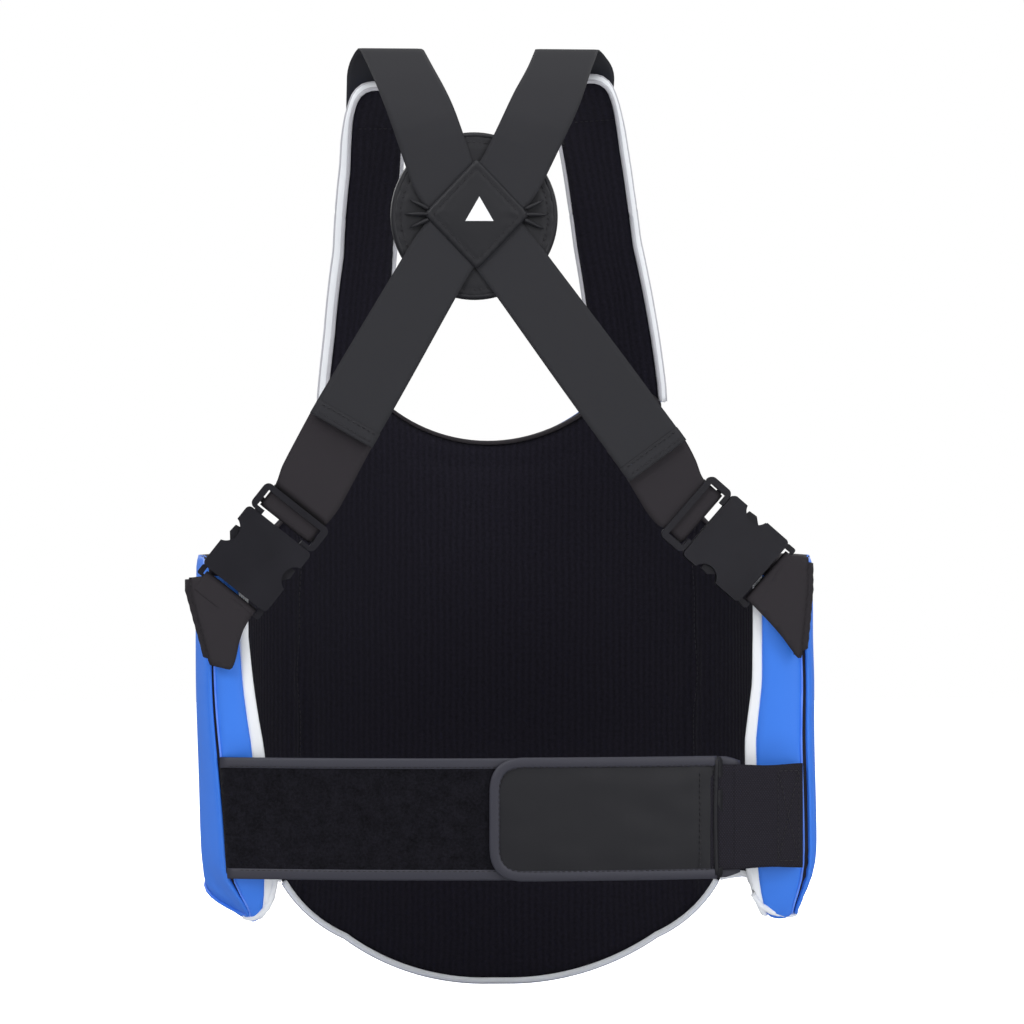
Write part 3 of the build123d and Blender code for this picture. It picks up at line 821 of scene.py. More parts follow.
def make_plastic():
    """Moulded black plastic with a fine spark texture."""
    material, w, shader = start_material("moulded_black_plastic", 0.36)
    place = in_space(w)
    spark = w.add("ShaderNodeTexNoise", {"Vector": place, "Scale": 1500.0, "Detail": 3.0})
    cloud = w.add("ShaderNodeTexNoise", {"Vector": place, "Scale": 25.0, "Detail": 4.0})
    finish_colour(w, shader, cloud.outputs["Fac"], linear(24, 23, 28), linear(36, 35, 42))
    w.feed(shader.inputs["Roughness"], w.maths("MULTIPLY_ADD", cloud.outputs["Fac"], 0.08, 0.3))
    finish_bump(w, shader, spark.outputs["Fac"], 0.25, 0.0002)


def make_hook_tape():
    """Hook tape: rows of tiny stiff hooks."""
    material, w, shader = start_material("hook_tape", 0.5)
    dots = w.add("ShaderNodeTexVoronoi", {"Vector": laid_flat(w), "Scale": 60.0, "Randomness": 0.25})
    # Hook tops lighter and the hollows between them darker: painted shade of the hooks' relief.
    factor = w.add("ShaderNodeMapRange", {"Value": dots.outputs["Distance"], "From Max": 0.5}).outputs[0]
    finish_colour(w, shader, factor, linear(60, 59, 64), linear(16, 16, 18))
    finish_bump(w, shader, dots.outputs["Distance"], -1.0, 0.0008)


def make_thread(name, dark, light):
    """Twisted sewing thread."""
    material, w, shader = start_material(name, 0.5, sheen=0.08, specular=0.3)
    twist = w.add("ShaderNodeTexNoise", {"Vector": in_space(w), "Scale": 900.0, "Detail": 2.0})
    finish_colour(w, shader, twist.outputs["Fac"], dark, light)
    finish_bump(w, shader, twist.outputs["Fac"], 0.5, 0.0002)


def make_floor_finish():
    """Plain pale paper with a trace of tooth."""
    material, w, shader = start_material("pale_paper", 0.9, specular=0.1)
    tooth = w.add("ShaderNodeTexNoise", {"Vector": in_space(w), "Scale": 40.0, "Detail": 3.0})
    finish_colour(w, shader, tooth.outputs["Fac"], linear(248, 248, 249), linear(253, 253, 253))
    shader.inputs["Emission Color"].default_value = (1.0, 1.0, 1.0, 1.0)
    path = w.add("ShaderNodeLightPath").outputs
    w.feed(shader.inputs["Emission Strength"], path["Is Camera Ray"])
    dim = w.add("ShaderNodeBsdfDiffuse", {"Color": (0.03, 0.03, 0.035, 1.0)}).outputs[0]
    mirrored = path["Is Glossy Ray"]
    either = w.add("ShaderNodeMixShader", {0: mirrored, 1: shader.outputs[0], 2: dim})
    w.feed(w.nodes["Material Output"].inputs["Surface"], either.outputs[0])


# ------------------------------------------------------------------ settings


class ProtectorSizes(bpy.types.PropertyGroup):
    """Sizes of the soft work, in metres."""

    lining_puff: bpy.props.FloatProperty(
        name="Lining puff", description="How far the lining swells between its seams",
        default=0.0016, min=0.0, unit="LENGTH")
    wall_puff: bpy.props.FloatProperty(
        name="Edge puff", description="How far the blue edge walls swell out behind the rims",
        default=0.0045, min=0.0, unit="LENGTH")
    pad_height: bpy.props.FloatProperty(
        name="Pad height", description="How proud the raised front pads stand",
        default=0.007, min=0.0, unit="LENGTH")
    strap_thickness: bpy.props.FloatProperty(
        name="Strap thickness", description="Thickness of the elastic straps",
        default=0.0014, min=0.0, unit="LENGTH")
    stitch_length: bpy.props.FloatProperty(
        name="Stitch length", description="Length of one stitch",
        default=0.0034, min=0.001, unit="LENGTH")
    panel_spacing: bpy.props.FloatProperty(
        name="Panel fineness", description="Spacing of the points that fill the large panels",
        default=0.0065, min=0.002, unit="LENGTH")


class ProtectorColours(bpy.types.PropertyGroup):
    """Colours of the leathers."""

    leather: bpy.props.FloatVectorProperty(
        name="Leather", description="Colour of the covers and edge walls",
        subtype="COLOR", size=4, default=linear(22, 112, 240), min=0.0, max=1.0)
    trim: bpy.props.FloatVectorProperty(
        name="Trim", description="Colour of the bindings and piping",
        subtype="COLOR", size=4, default=linear(238, 241, 246), min=0.0, max=1.0)
    black: bpy.props.FloatVectorProperty(
        name="Black leather", description="Colour of the glossy black pieces",
        subtype="COLOR", size=4, default=linear(26, 25, 30), min=0.0, max=1.0)


def sizes():
    return bpy.context.scene.protector_sizes


def shade_of(colour, share):
    """A darker or lighter tone of a colour."""
    return [min(1.0, c * share) for c in colour[:3]] + [1.0]


class ProtectorPart(bpy.types.Operator):
    """Shared ground of the protector's operators."""

    bl_idname = "protector.part"
    bl_label = "Protector part"
    bl_options = {"REGISTER", "UNDO"}

    def execute(self, context):
        self.build(context)
        return {"FINISHED"}

    def build(self, context):
        raise RuntimeError("this operator only carries the others")


class PROTECTOR_OT_finishes(ProtectorPart):
    """Mix every cloth, leather and plastic"""

    bl_idname = "protector.finishes"
    bl_label = "Finishes"

    def build(self, context):
        colours = context.scene.protector_colours
        make_weave_group()
        make_rib_group()
        make_grain_group()
        make_wear_group()
        make_mesh_cloth()
        make_loop_cloth()
        make_plastic()
        make_hook_tape()
        make_floor_finish()
        blue, trim, black = [list(c) for c in (colours.leather, colours.trim, colours.black)]
        make_leather("blue_leather", shade_of(blue, 0.82), shade_of(blue, 1.12), 0.34, pebbles=1100.0)
        make_leather("white_leather", shade_of(trim, 0.97), shade_of(trim, 1.05), 0.42, pebbles=1100.0)
        # Light grey: the colour of the shoulder panels' near piping, and also painted shadow for the grey
        # cords along the shoulder walls' far edges and outside the tongue's white piping.
        make_leather("grey_piping", linear(186, 186, 192), linear(214, 214, 218), 0.45)
        make_leather(
            "black_leather", shade_of(black, 0.3), shade_of(black, 0.6), 0.22,
            coat=0.1, relief=0.0005, specular=0.22)
        # A paler blue for the thin cord along each wing's wall: a painted highlight standing in for light
        # caught on the leather's fold.
        highlight_tone = [min(1.0, c + 0.18) for c in blue[:3]] + [1.0]
        make_leather("painted_highlight_blue", blue, highlight_tone, 0.3)
        make_leather("dark_binding", linear(38, 36, 44), linear(56, 54, 66), 0.36, specular=0.4)
        make_cloth("black_elastic", linear(11, 11, 12), linear(37, 35, 38), 22.0, 110.0)
        make_cloth("black_webbing", linear(8, 8, 9), linear(30, 28, 31), 40.0, 55.0, relief=0.0005)
        make_cloth("belt_elastic", linear(14, 13, 15), linear(48, 46, 53), 34.0, 46.0, relief=0.0006)
        make_thread("black_thread", linear(24, 23, 26), linear(52, 50, 55))
        make_thread("white_thread", linear(205, 206, 212), linear(246, 247, 250))
        make_leather("white_print", linear(236, 238, 242), linear(250, 251, 252), 0.5)


# ------------------------------------------------------------------ body


def seam_sway(z):
    """How an upright seam wanders with height, in millimetres."""
    return 2.2 * sin(z * 0.041) + 1.2 * sin(z * 0.093 + 1.0)


LINING_SEAM = 213.0
LINING_THICKNESS = 3.0
# The lining stops short of the rims, whose binding laps over it.
LINING_SETBACK = 2.4


def lining_level(run, z, gap):
    """Depth of the lining: rounded off at its edge, sunk at its seams, softly rumpled."""
    level = PAD - 1.0 - 2.6 * (1 - ease(gap, 0, 9)) + sizes().lining_puff / MM * ease(gap, 8, 40)
    seam = abs(abs(run) - LINING_SEAM + seam_sway(z))
    if z < 250:
        level -= 2.6 * hump(seam, 0, 7) * ease(-z, -250, -225)
        level += 1.0 * hump(seam, 14, 9)
    level += 1.3 * noise.noise(Vector((run * 0.012, z * 0.007, 3.0)))
    creases = noise.noise(Vector((run * 0.05, z * 0.011, 8.0)))
    level += 0.9 * (creases * ease(abs(abs(run) - LINING_SEAM), 60, 5))
    level -= 1.6 * hump(z - 0.0016 * (run - 3) ** 2, 283, 8) * ease(-abs(run), -110, -60)
    return level


class PROTECTOR_OT_lining(ProtectorPart):
    """Line the inside of the body with ribbed mesh over the foam"""

    bl_idname = "protector.lining"
    bl_label = "Inner lining"

    def build(self, context):
        spacing = sizes().panel_spacing / MM
        edge = whole_edge(PAD)
        drawn_in = inset_loop(edge, -LINING_SETBACK)
        loop = [near if at[1] > WING_BOTTOM - 6 else at for at, near in zip(edge, drawn_in)]
        lining = panel(
            "inner_lining", loop, spacing, on_form,
            lining_level, lambda run, z, gap: lining_level(run, z, gap) - LINING_THICKNESS)
        dress(lining, "ribbed_black_mesh", slot="black_mesh", hides=("body_lining", "body_foam"))
        runs = []
        for side, _ in SIDES:
            heights = np.arange(-60, 236, 6.0)
            seam = [(side * (LINING_SEAM - seam_sway(z) + 4), z) for z in heights]
            runs.append(off_form(seam, PAD + 0.6, -9))
        dress(stitches("lining_seam_stitches", runs, radius=0.3), "black_thread", slot="black_mesh")


def cover_level(run, z, gap):
    """Depth of the outer cover: rolled in at its seams and edges."""
    level = 2.2 * (1 - ease(gap, 0, 7)) - 0.8 * ease(gap, 10, 50)
    return level + 0.5 * noise.noise(Vector((run * 0.01, z * 0.01, 5.0)))


def clip_loop(loop, low, high):
    """The part of a laid-flat outline between two runs."""
    clipped = []
    for a, b in zip(loop, loop[1:] + loop[:1]):
        a_in, b_in = low <= a[0] <= high, low <= b[0] <= high
        if a_in:
            clipped.append(a)
        if a_in != b_in:
            bound = low if min(a[0], b[0]) < low <= max(a[0], b[0]) else high
            t = (bound - a[0]) / (b[0] - a[0])
            clipped.append((bound, blend_between(a[1], b[1], t)))
    return clipped


COVER_THICKNESS = 1.6
COVER_STITCH_OFFSET = 4.5


class PROTECTOR_OT_covers(ProtectorPart):
    """Cover the outside of the body in blue leather"""

    bl_idname = "protector.covers"
    bl_label = "Outer covers"

    def build(self, context):
        spacing = sizes().panel_spacing / MM
        seam = run_at_x(SIDE_SEAM, 0)
        whole = whole_edge(0)
        pieces = (
            ("front_cover_leather", -seam, seam, "front_cover"),
            ("left_side_cover_leather", seam, 900, "left_side_cover"),
            ("right_side_cover_leather", -900, -seam, "right_side_cover"),
        )
        for name, low, high, node in pieces:
            loop = even_loop(clip_loop(whole, low, high), EDGE_STEP * 0.8)
            cover = panel(
                name, loop, spacing, on_form,
                cover_level, lambda run, z, gap: cover_level(run, z, gap) + COVER_THICKNESS)
            dress(cover, "blue_leather", slot="blue_leather", hides=(node,))
        runs = []
        for side, _ in SIDES:
            for offset in (-COVER_STITCH_OFFSET, COVER_STITCH_OFFSET):
                column = [(side * (seam + offset), z) for z in np.arange(-88, 268, 6.0)]
                runs.append(off_form(column, 0.35, 8))
        dress(stitches("cover_seam_stitches", runs), "white_thread", slot="white_leather")


# Each pad's name, lower and upper height, half width low and high, and finish.
FRONT_PADS = (
    ("chest_pad", 206, 298, 128, 104, "white_leather"),
    ("upper_belly_pad", 124, 200, 142, 130, "blue_leather"),
    ("middle_belly_pad", 42, 118, 146, 143, "blue_leather"),
    ("lower_belly_pad", -40, 36, 138, 146, "blue_leather"),
    ("tongue_pad", -126, -46, 70, 134, "white_leather"),
)


PAD_CORNER = 14
PAD_STITCH_INSET = 8.0


class PROTECTOR_OT_front_pads(ProtectorPart):
    """Raise the five pads on the front"""

    bl_idname = "protector.front_pads"
    bl_label = "Front pads"

    def build(self, context):
        height = sizes().pad_height / MM
        for node, low, high, half_low, half_high, finish in FRONT_PADS:
            spots = ((-half_low, low), (half_low, low), (half_high, high), (-half_high, high))
            loop = rounded([(run_at_x(x, 0), z) for x, z in spots], PAD_CORNER, step=5.0)

            def swell(run, z, gap):
                dome = sqrt(max(0.0, 1 - (1 - min(gap / 15, 1)) ** 2))
                crease = 0.35 * noise.noise(Vector((run * 0.03, z * 0.03, low * 0.1)))
                return -height * (0.12 + 0.88 * dome) - crease * ease(gap, 6, 25)

            pad = panel(f"{node}_leather", loop, 5.5, on_form, swell, lambda run, z, gap: 0.6)
            dress(pad, finish, slot=finish, hides=(node,))
            border = [on_form(run, z, -1.5) for run, z in loop]
            trim = "white_leather" if finish == "blue_leather" else "blue_leather"
            dress(piping(f"{node}_piping", border, 1.9 * MM, closed=True), trim, slot=trim)
            inner = inset_loop(loop, PAD_STITCH_INSET)
            inner.append(inner[0])
            places = [on_form(run, z, swell(run, z, PAD_STITCH_INSET) + 0.1) for run, z in inner]
            outs = [on_form(run, z, -8) - on_form(run, z, 0) for run, z in inner]
            thread = "white_thread" if finish == "blue_leather" else "black_thread"
            dress(stitches(f"{node}_stitches", [(places, outs)]), thread, slot=trim)


def band(name, edge, shape):
    """A strip along the edge; shape gives its ring of (depth, proud) at each station."""
    return swept(name, [[edge.spot(i, *spot) for spot in shape(i)] for i in range(edge.count)])


def belt_press(z):
    """How much the belt flattens what lies under it."""
    return 1 - ease(abs(z), 50, 60)


def bulged(depth_low, depth_high, proud, puff, under=-3.0, steps=9):
    """A ring of (depth, proud) that swells between two depths."""
    ring = []
    for k in range(steps + 1):
        t = k / steps
        swell = max(0.0, 1 - (2 * t - 1) ** 2) ** 0.5
        ring.append((blend_between(depth_low, depth_high, t), proud + puff * swell))
    return ring + [(depth_high, under), (depth_low, under)]


# Depths at which the parts of a wing's rim meet, from the outer face in.
GROOVE_FIRST, GROOVE_LAST = 2.0, 5.4
WALL_FIRST = 5.6
WALL_LAST = {LEFT: 32.1, RIGHT: 35.4}
BINDING_LAP = 0.4
BINDING_LAST = 42.6


class PROTECTOR_OT_edges(ProtectorPart):
    """Close the edges of the body with walls, bindings and piping"""

    bl_idname = "protector.edges"
    bl_label = "Edges"

    def build(self, context):
        puff = sizes().wall_puff / MM
        for side, name in SIDES:
            rim = EdgeRun(side, ("rim", "wing_bottom", "notch"), highest=194)
            heights = [pair[0][1] for pair in rim.pairs]
            split = WALL_LAST[side]

            def wall(i):
                end = ease(i, 0, 4) * ease(rim.count - 1 - i, 0, 4)
                press = belt_press(heights[i])
                swell = puff * (1 - 0.85 * press) * (0.4 + 0.6 * end)
                rumple = 0.5 * noise.noise(Vector((side * 7.0, heights[i] * 0.03, i * 0.02)))
                return bulged(WALL_FIRST, split, 0.4, swell + rumple * (1 - press))

            def groove(i):
                return bulged(GROOVE_FIRST, GROOVE_LAST, -1.8, 0.5)

            def binding(i):
                return bulged(split - BINDING_LAP, BINDING_LAST, 0.3, 2.0)

            wall_piece = band(f"{name}_rim_wall_leather", rim, wall)
            dress(wall_piece, "blue_leather", slot="blue_leather", hides=(f"{name}_rim_wall",))
            dress(
                band(f"{name}_rim_groove_webbing", rim, groove),
                "black_webbing", slot="black_webbing", hides=(f"{name}_rim_groove_strip",))
            dress(
                band(f"{name}_rim_binding_leather", rim, binding),
                "white_leather", slot="white_leather", hides=(f"{name}_rim_binding",))
            # A thin paler blue cord along the wall's outer edge: painted highlight of the fold between
            # groove and wall.
            line = [rim.spot(i, WALL_FIRST, 0.5) for i in range(rim.count)]
            dress(piping(f"{name}_rim_wall_highlight_line", line, 0.9 * MM), "painted_highlight_blue", slot="blue_leather")
            corner = [rim.spot(i, 1.2, 0.0) for i in range(rim.count)]
            dress(piping(f"{name}_rim_corner_roll", corner, 1.5 * MM), "blue_leather", slot="blue_leather")
            self.heel(name, rim, heights)
        self.tongue()
        self.neck()

    def heel(self, name, rim, heights):
        """White piping that sweeps round the low back corner of a wing, out to its groove."""
        first = next(i for i, z in enumerate(heights) if z < -22)
        last = next(i for i, z in enumerate(heights) if z <= WING_BOTTOM + 0.5) + 2
        line = []
        for i in range(first, last):
            share = ease(i, first + (last - first) * 0.35, last - 1)
            line.append(rim.spot(i, blend_between(41.0, 3.0, share), 1.4))
        dress(piping(f"{name}_heel_piping", line, 2.6 * MM), "white_leather", slot="white_leather")

    def tongue(self):
        """The tongue's wall and its two-tone piping: white, with a grey cord just outside it as painted
        shadow.
        """
        halves = [EdgeRun(side, ("tongue",)) for side, _ in SIDES]
        wall, white, painted_shadow_line = [], [], []
        for half, order in ((halves[0], 1), (halves[1], -1)):
            stations = list(range(half.count))[::order]
            wall += [[half.spot(i, *s) for s in bulged(2.0, 37.0, 0.2, 2.0)] for i in stations]
            white += [half.spot(i, 40.6, 1.4) for i in stations]
            # The grey cord sits just outside the white piping as painted shadow along its edge.
            painted_shadow_line += [half.spot(i, 38.4, 3.0) for i in stations]
        dress(
            swept("tongue_wall_leather", wall), "blue_leather", slot="blue_leather",
            hides=("tongue_edge_wall",))
        dress(piping("tongue_white_piping", white, 2.3 * MM), "white_leather", slot="white_leather")
        dress(
            piping("tongue_painted_shadow_piping", painted_shadow_line, 1.9 * MM), "grey_piping", slot="grey_piping",
            hides=("tongue_piping",))

    def neck(self):
        """The walls of the neck and the armholes, bound in black."""
        stretches = ("neck", "foot", "armhole", "wing_top", "rim")
        halves = [EdgeRun(side, stretches, lowest=188) for side, _ in SIDES]
        stations = [(halves[1], i) for i in reversed(range(1, halves[1].count))]
        stations += [(halves[0], i) for i in range(halves[0].count)]
        rings = [[half.spot(i, *s) for s in bulged(1.8, 41.0, -0.6, 1.4)] for half, i in stations]
        dress(
            swept("neck_and_armhole_binding", rings), "black_webbing", slot="dark_binding",
            hides=("neck_and_armhole_edge_wall",))


# ------------------------------------------------------------------ shoulder panels

SHOULDER_LEAN = radians(2.4)
SHOULDER_TURN = 22
SHOULDER_MIDDLE = (115.5, -128)
SHOULDER_RADIUS = 381.0
SHOULDER_PAD = 18.0
SHOULDER_CENTRE = (254.0, 330.0)
SHOULDER_SEAM = 566.0
SHOULDER_TOP = 597.0
# How much narrower a shoulder panel's outer half is, by height.
SHOULDER_TRIM = ((345, 384, 464, 540, 575), (4.5, 6.0, 7.5, 4.5, 1.5))
# How far each shoulder panel sways outward from a straight lay, by height.
SHOULDER_SWAY = {
    LEFT: ((345, 400, 465, 530, 570, 600), (-1.0, -5.0, -6.5, -3.0, 3.0, 5.0)),
    RIGHT: ((345, 384, 423, 464, 504, 569), (4.0, 3.0, 0.8, -1.7, -1.7, 0.0)),
}


def shoulder_spot(side):
    """Gives the function that puts a laid-out place of one shoulder panel on the body."""
    lean = Matrix.Translation((4, 0, 345)) @ Matrix.Rotation(SHOULDER_LEAN, 4, "Y")
    lean = lean @ Matrix.Translation((0, 0, -345))
    middle_x, middle_y = SHOULDER_MIDDLE
    turned = Matrix.Rotation(radians(side * SHOULDER_TURN), 4, "Z")
    turned = Matrix.Translation((side * middle_x, middle_y, 0)) @ turned
    spot = lean @ turned @ Matrix.Translation((0, -middle_y, 0))
    centre_y, centre_z = SHOULDER_CENTRE

    def place(across, z, out):
        out = out * blend_between(1.0, 0.45, ease(z, 540, 592))
        radius = SHOULDER_RADIUS + out
        turn = asin((z - centre_z) / SHOULDER_RADIUS)
        across += side * float(np.interp(z, *SHOULDER_SWAY[side]))
        across -= side * float(np.interp(z, *SHOULDER_TRIM)) * ease(side * across, -12, 24)
        local = Vector((across, centre_y - radius * cos(turn), centre_z + radius * sin(turn)))
        return (spot @ local) * MM

    return place


def shoulder_loop(side, inset=0.0):
    """A shoulder panel's outline, laid out."""
    shift = side * 4
    low, high = 32 - inset, 26 - inset
    inner = 4.0 if side == RIGHT else 0.0
    foot = SHOULDER_FOOT - 14
    top = SHOULDER_TOP - inset
    corners = [
        (-low, foot), (low + inner * 0.5, foot), (high + shift + inner, top), (-high + shift, top)]
    return rounded(corners, [1, 1, 15, 15], step=5.0)


def shoulder_lining_level(across, z, gap):
    level = 1.4 - 2.6 * ease(gap, 0, 9) + 0.7 * noise.noise(Vector((across * 0.03, z * 0.02, 1.0)))
    return level + 1.8 * hump(z, SHOULDER_SEAM, 6) * ease(gap, 2, 8)


class PROTECTOR_OT_shoulders(ProtectorPart):
    """Pad the two shoulder panels and bind their edges"""

    bl_idname = "protector.shoulders"
    bl_label = "Shoulder panels"

    def build(self, context):
        for side, name in SIDES:
            place = shoulder_spot(side)
            inner = shoulder_loop(side, 1.5)
            lining = panel(
                f"{name}_shoulder_mesh", inner, 5.5, place,
                lambda a, z, gap: shoulder_lining_level(a, z, gap) + 3.0, shoulder_lining_level)
            dress(
                lining, "ribbed_black_mesh", slot="black_mesh",
                hides=(f"{name}_shoulder_lining", f"{name}_shoulder_foam"))
            cover = panel(
                f"{name}_shoulder_leather", inner, 5.5, place,
                lambda a, z, gap: SHOULDER_PAD - 2.4 * (1 - ease(gap, 0, 10)),
                lambda a, z, gap: SHOULDER_PAD - 4.5)
            dress(cover, "blue_leather", slot="blue_leather", hides=(f"{name}_shoulder_cover",))
            self.edge(side, name, place)

    def edge(self, side, name, place):
        """The white wall and the grey piping round one panel, and a grey cord along the wall's far edge as
        painted shadow.
        """
        outer = shoulder_loop(side, 0.6)
        start = min(range(len(outer)), key=lambda i: outer[i][1] - outer[i][0] * 1e-3)
        outer = outer[start:] + outer[:start]
        loop = [p for p in outer if p[1] > SHOULDER_FOOT - 13.6]
        middle = Vector((side * 2, 470))
        rings = []
        for p in loop:
            inward = Vector((middle.x - p[0], (middle.y - p[1]) * 0.15)).normalized()
            section = []
            for k in range(9):
                t = k / 8
                swell = 1.6 * sqrt(max(0.0, 1 - (2 * t - 1) ** 2))
                spot = Vector(p) - inward * swell
                section.append(place(spot.x, spot.y, blend_between(1.2, SHOULDER_PAD - 1.4, t)))
            back = Vector(p) + inward * 3.2
            section.append(place(back.x, back.y, SHOULDER_PAD - 2.0))
            section.append(place(back.x, back.y, 1.8))
            rings.append(section)
        dress(
            swept(f"{name}_shoulder_wall", rings), "white_leather", slot="white_leather",
            hides=(f"{name}_shoulder_binding",))
        cord = [place(p[0], p[1], 0.9) for p in loop]
        dress(piping(f"{name}_shoulder_piping", cord, 1.7 * MM), "grey_piping", slot="grey_piping")
        # A grey cord along the wall's far edge: painted shadow of the wall's far side.
        shadow_cord = [place(p[0], p[1], SHOULDER_PAD - 0.8) for p in loop]
        dress(piping(f"{name}_shoulder_far_shadow_piping", shadow_cord, 1.5 * MM), "grey_piping", slot="grey_piping")
        across = [(x, SHOULDER_SEAM) for x in np.arange(-20, 28, 4.0) + (side - 1) * 4]
        seam = [place(x, z, 0.4) for x, z in across]
        seam_outs = [place(x, z, -9) - place(x, z, 0) for x, z in across]
        dress(
            stitches(f"{name}_shoulder_stitches", [(seam, seam_outs)], radius=0.35),
            "black_thread", slot="black_mesh")


# ------------------------------------------------------------------ harness

FOLD_TOP = 625.0
STRAP_HALF = 26.0
# Each strap's name, its level behind the back, its route, and where its far end is sewn.
STRAPS = (
    ("left_to_right", 96.9, ((104, 656), (54, 507), (4.5, 449), (-115.5, 286)), 102.0),
    ("right_to_left", 98.5, ((-67, 656), (3.3, 510), (55, 451.7), (136.5, 310)), -68.5),
)


def strap_rows(layer, route, far_middle):
    """The left and right edges of a harness strap, from its sewn far end over the fold to its hem."""
    side_view = smooth_curve(
        [(-72, 552), (-60, 580), (-42, 605), (-27, 620), (-10, FOLD_TOP - 0.8), (8, 620),
         (layer - 38, 592), (layer - 8, 568), (layer, 548)], 4.0)
    top = max(range(len(side_view)), key=lambda i: side_view[i].y)
    path = smooth_route(route)
    top_middle = route_x(path, FOLD_TOP)
    rows = []
    for i, spot in enumerate(side_view[:top]):
        share = ease(top - i, 0, top * 0.4)
        middle = blend_between(top_middle, far_middle, share)
        reaches = (middle - STRAP_HALF, middle + STRAP_HALF)
        rows.append(tuple(Vector((reach, spot.x, spot.y)) for reach in reaches))
    near = side_view[top:]
    heights = [p.y for p in reversed(near)]
    levels = [p.x for p in reversed(near)]

    def level(z):
        return float(np.interp(z, heights, levels, left=layer))

    for here, ahead in path:
        if here.y > FOLD_TOP - 1:
            continue
        turn = ease(-here.y, -612, -545)
        square = Vector((-ahead.y, ahead.x))
        wide = Vector((1, 0)).lerp(square if square.x > 0 else -square, turn).normalized()
        edges = []
        half = STRAP_HALF + 2.0 * ease(-here.y, -470, -330)
        for sign in (-1, 1):
            p = here + wide * (sign * half)
            out = level(p.y) if p.y < FOLD_TOP - 1 else -8.0
            edges.append(Vector((p.x, out, min(p.y, FOLD_TOP - 1))))
        rows.append(tuple(edges))
    return rows


def smooth_route(route):
    """Closely spaced places with directions along a route whose corners are eased."""
    loose = []
    for a, b in zip(route, route[1:]):
        loose += line_points(a, b, 3.0)
    loose.append(route[-1])
    reach = 4
    places = []
    for i in range(len(loose)):
        span = min(reach, i, len(loose) - 1 - i)
        window = loose[i - span : i + span + 1]
        places.append(Vector((np.mean([p[0] for p in window]), np.mean([p[1] for p in window]))))
    steps = zip(places, places[1:] + places[-1:], places[:1] + places[:-1])
    return [(here, (after - before).normalized()) for here, after, before in steps]


def route_x(path, z):
    """How far across a route is at a height."""
    return min(path, key=lambda spot: abs(spot[0].y - z))[0].x


class PROTECTOR_OT_harness(ProtectorPart):
    """Cross the two elastic straps over the back"""

    bl_idname = "protector.harness"
    bl_label = "Harness straps"

    def build(self, context):
        thick = sizes().strap_thickness / MM
        for name, layer, route, far_middle in STRAPS:
            rows = strap_rows(layer, route, far_middle)
            strap = ribbon(f"{name}_strap", rows, thick, columns=14)
            dress(strap, "black_elastic", slot="black_elastic", hides=(f"{name}_harness_strap",))
            last_a, last_b = rows[-1]
            prior_a, prior_b = rows[-5]
            back = ((prior_a + prior_b) / 2 - (last_a + last_b) / 2).normalized()
            out = Vector((0, 1, 0))
            hem_rows = []
            for distance in (-1.2, 0.5, 4.0, 8.0, 11.5):
                shift = back * distance + out * (thick if 0 < distance < 11 else thick * 0.5)
                widen = (last_b - last_a).normalized() * 0.5
                hem_rows.append((last_a + shift - widen, last_b + shift + widen))
            hem = ribbon(f"{name}_strap_hem", hem_rows, 1.1, columns=10)
            dress(hem, "black_elastic", slot="black_elastic")
            runs = []
            for distance in (2.5, 9.5):
                shift = back * distance + out * (thick + 0.6)
                ends = [last_a + shift, last_b + shift]
                places = [ends[0].lerp(ends[1], 0.04 + 0.92 * k / 12) * MM for k in range(13)]
                runs.append((places, [out] * 13))
            thread = stitches(f"{name}_hem_stitches", runs, radius=0.35)
            dress(thread, "black_thread", slot="black_elastic")


DISC_MIDDLE = (30.5, 480.5)
DISC_RADIUS = 67.0
PATCH_MIDDLE = (29.0, 481.5)
PATCH_HALF = 44.5
PATCH_WIDE = 42.5
PATCH_STITCH_INSET = 7.4


def upright(across, z, level):
    """A place on an upright flat piece that faces the back."""
    return Vector((across, level, z)) * MM


def circle_loop(middle, radius, step=3.5):
    count = round(tau * radius / step)
    turns = [tau * i / count for i in range(count)]
    return [(middle[0] + radius * cos(t), middle[1] + radius * sin(t)) for t in turns]


class PROTECTOR_OT_disc(ProtectorPart):
    """Pad the round back plate and bind it"""

    bl_idname = "protector.disc"
    bl_label = "Back disc"

    def build(self, context):
        middle = Vector(DISC_MIDDLE)

        def face(x, z, gap):
            place = Vector((x, z)) - middle
            turn = atan2(place.y, place.x)
            pucker = 0.35 * sin(turn * 36) * hump(gap, 4.5, 4)
            pucker += 0.4 * noise.noise(Vector((x, z, 0)) * 0.05)
            return 94.6 + 1.3 * ease(gap, 0, 4) - 1.1 * hump(gap, 6.0, 2.4) + pucker

        disc = panel(
            "back_disc_leather", circle_loop(DISC_MIDDLE, DISC_RADIUS - 2), 3.0, upright,
            face, lambda x, z, gap: 88.0)
        dress(disc, "black_leather", slot="black_leather", hides=("back_disc_cover", "back_disc_foam"))
        backing = panel(
            "back_disc_mesh", circle_loop(DISC_MIDDLE, DISC_RADIUS - 2), 5.0, upright,
            lambda x, z, gap: 88.4, lambda x, z, gap: 86.2 - 0.6 * ease(gap, 2, 14))
        dress(backing, "ribbed_black_mesh", slot="black_mesh", hides=("back_disc_lining",))
        rings = []
        for x, z in circle_loop(DISC_MIDDLE, DISC_RADIUS - 2.6):
            out = (Vector((x, z)) - middle).normalized()
            section = []
            for k in range(12):
                turn = tau * k / 12
                spot = Vector((x, z)) + out * (2.7 * cos(turn))
                section.append(upright(spot.x, spot.y, 90.9 + 4.9 * sin(turn)))
            rings.append(section)
        dress(
            swept("back_disc_binding", rings, closed=True), "black_leather", slot="black_leather",
            hides=("back_disc_edge",))
        ring = circle_loop(DISC_MIDDLE, DISC_RADIUS - 8.0)
        places = [upright(x, z, 95.2) for x, z in ring + ring[:1]]
        runs = [(places, [Vector((0, 1, 0))] * len(places))]
        thread = stitches("back_disc_stitches", runs, length=3.0, radius=0.4)
        dress(thread, "black_thread", slot="black_leather")


